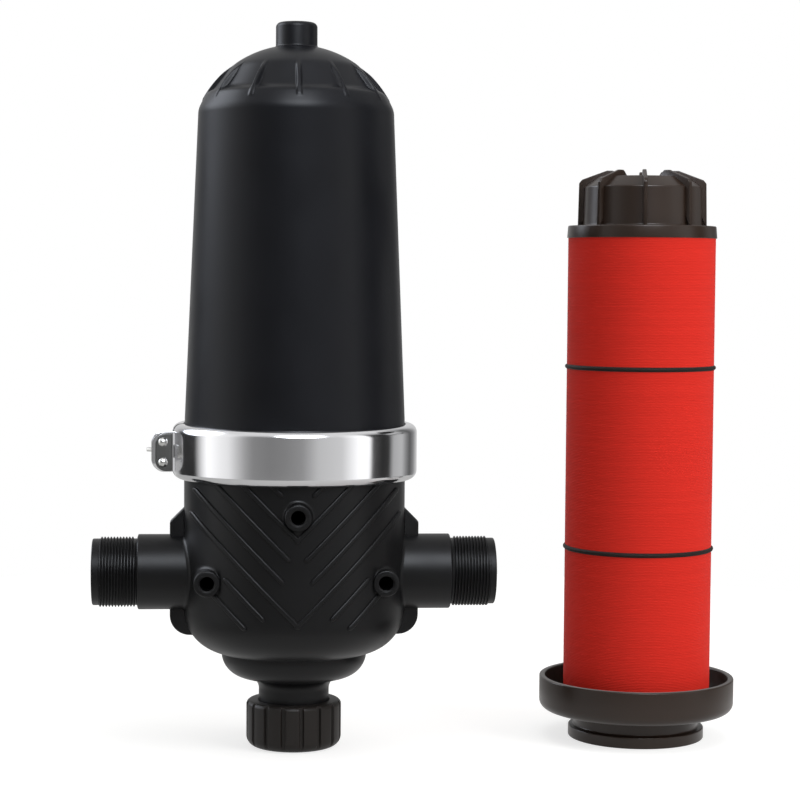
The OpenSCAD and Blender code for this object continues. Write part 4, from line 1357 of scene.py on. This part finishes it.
def studio(world):
    """White behind the object, plain light for its surfaces, and for reflections a photographer's tent:
    white and grey sheets all round with dark gaps between them. A direction's place in the row of sheets
    is its turn atan2(x, -y) from the camera's side; overhead the sheets pass into a light ceiling, and two
    round lamps hang above them, one over the camera and one on the left."""
    stage = settings().stage
    tree = empty_tree(world)
    toward = add(tree, "ShaderNodeTexCoord").outputs["Generated"]
    way = add(tree, "ShaderNodeSeparateXYZ", (toward,)).outputs
    front = add(tree, "ShaderNodeMath", (way["Y"], -1.0), operation="MULTIPLY")
    turn = add(tree, "ShaderNodeMath", (way["X"], front), operation="ARCTAN2")
    share = add(tree, "ShaderNodeMapRange", (turn, -math.pi, math.pi, 0, 1))
    sheets = add(tree, "ShaderNodeValToRGB", (share,))
    marks = sheets.color_ramp.elements
    while len(marks) < len(SHEETS):
        marks.new(0.5)
    for mark, (degrees, level) in zip(marks, SHEETS):
        mark.position = (degrees + 180) / 360
        mark.color = (level, level, level, 1)
    overhead = add(tree, "ShaderNodeMapRange", (way["Z"], 0.45, 0.8, 0, 1))
    sky = add(tree, "ShaderNodeMix", {0: overhead, 6: sheets, 7: (0.6, 0.6, 0.6, 1)}, data_type="RGBA")
    for aim, rim, heart, glow in LAMPS:
        cosine = add(tree, "ShaderNodeVectorMath", (toward, Vector(aim).normalized()),
                     operation="DOT_PRODUCT").outputs["Value"]
        lamp = add(tree, "ShaderNodeMapRange", (cosine, rim, heart, 0, 1))
        sky = add(tree, "ShaderNodeMix", {0: lamp, 6: sky.outputs[2], 7: glow}, data_type="RGBA")
    path = add(tree, "ShaderNodeLightPath").outputs
    mirrored = add(tree, "ShaderNodeMath", (path["Is Glossy Ray"], path["Is Transmission Ray"]),
                   operation="MAXIMUM")
    plain = add(tree, "ShaderNodeBackground", (WHITE, stage.ambient))
    tent = add(tree, "ShaderNodeBackground", (sky.outputs[2], stage.tent))
    white = add(tree, "ShaderNodeBackground", (WHITE, 1.0))
    lit = add(tree, "ShaderNodeMixShader", (mirrored, plain, tent))
    shown = add(tree, "ShaderNodeMixShader", (path["Is Camera Ray"], lit, white))
    add(tree, "ShaderNodeOutputWorld", (shown,))


def paper_floor(tone):
    """White paper lit from below as well, so that it stays white and only shows the object's shadow. What
    mirrors it from close by sees most of that glow, and what mirrors it from further up little of it."""
    made = bpy.data.materials.new("white paper, floor")
    tree = empty_tree(made)
    sheet = add(tree, "ShaderNodeBsdfDiffuse", ((*[c * 0.55 for c in tone], 1),))
    glow = add(tree, "ShaderNodeEmission", (WHITE, 0.7))
    path = add(tree, "ShaderNodeLightPath").outputs
    near = add(tree, "ShaderNodeMapRange", (path["Ray Length"], 0.17, 0.235, 0.8, 0.12))
    mirrored = add(tree, "ShaderNodeMath", (path["Is Glossy Ray"], near), operation="MULTIPLY")
    seen = add(tree, "ShaderNodeMath", (path["Is Camera Ray"], mirrored), operation="MAXIMUM")
    both = add(tree, "ShaderNodeAddShader", (sheet, glow))
    shown = add(tree, "ShaderNodeMixShader", (seen, sheet, both))
    add(tree, "ShaderNodeOutputMaterial", (shown,))
    return made


def soft_light(name, where, power, width):
    """A square soft light that surfaces don't mirror."""
    data = bpy.data.lights.new(name, "AREA")
    data.energy = power
    data.size = width
    lamp = linked(name, data)
    lamp.location = where
    way = Vector(settings().stage.aim) - Vector(where)
    lamp.rotation_euler = way.to_track_quat("-Z", "Y").to_euler()
    unmirrored(lamp)
    return lamp


class DISCFILTER_OT_stage(bpy.types.Operator):
    """Sets the camera at the photo's angle, the pale floor, the light and the white background"""
    bl_idname = "disc_filter.stage"
    bl_label = "Stage"

    def execute(self, context):
        stage, scene = settings().stage, context.scene
        data = bpy.data.cameras.new("photo camera")
        data.lens = stage.lens
        data.sensor_width = SENSOR_MM
        camera = linked("photo_camera", data)
        camera.location = stage.camera_place
        camera.rotation_euler = (stage.camera_tilt, stage.camera_roll, stage.camera_turn)
        scene.camera = camera
        scene.view_settings.view_transform = "Standard"
        rim = arc((0, 0), stage.floor_radius, 0, 360, 97)[:-1]
        mesh = bpy.data.meshes.new("floor")
        mesh.from_pydata(np.column_stack((rim, np.zeros(len(rim)))).tolist(), [], [range(len(rim))])
        mesh.materials.append(paper_floor(settings().finish.floor))
        floor = linked("paper_floor", mesh)
        below = 0.2 * MM
        floor.location = (0, 0, CAD_LOW[2] - below)
        key = soft_light("key_light", stage.key_place, stage.key, stage.key_width)
        fill = soft_light("top_light", stage.fill_place, stage.fill, stage.fill_width)
        if scene.world is None:
            scene.world = bpy.data.worlds.new("studio")
        studio(scene.world)
        return {"FINISHED"}


# Panel

PIECES = (DISCFILTER_OT_body, DISCFILTER_OT_cover, DISCFILTER_OT_band, DISCFILTER_OT_lugs,
          DISCFILTER_OT_rivets, DISCFILTER_OT_screw, DISCFILTER_OT_cap, DISCFILTER_OT_base,
          DISCFILTER_OT_discs, DISCFILTER_OT_rings, DISCFILTER_OT_knob, DISCFILTER_OT_inner,
          DISCFILTER_OT_stage)


class DISCFILTER_PT_panel(bpy.types.Panel):
    """Lists the pieces of the disc filter"""
    bl_idname = "DISCFILTER_PT_panel"
    bl_label = "Disc filter"
    bl_space_type = "VIEW_3D"
    bl_region_type = "UI"
    bl_category = "Disc filter"

    def draw(self, context):
        for piece in PIECES:
            self.layout.operator(piece.bl_idname)


GROUPS = (BodySizes, PortSizes, TapSizes, RibSizes, CoverSizes, ClosureSizes, CapSizes, CartridgeSizes,
          FinishColours, StageSettings, FilterSettings)


def register():
    for item in (*GROUPS, *PIECES, DISCFILTER_PT_panel):
        bpy.utils.register_class(item)
    bpy.types.Scene.disc_filter = PointerProperty(type=FilterSettings)


def unregister():
    del bpy.types.Scene.disc_filter
    for item in reversed((*GROUPS, *PIECES, DISCFILTER_PT_panel)):
        bpy.utils.unregister_class(item)


def main():
    register()
    for piece in PIECES:
        family, name = piece.bl_idname.split(".")
        getattr(getattr(bpy.ops, family), name)()


if __name__ == "__main__":
    main()
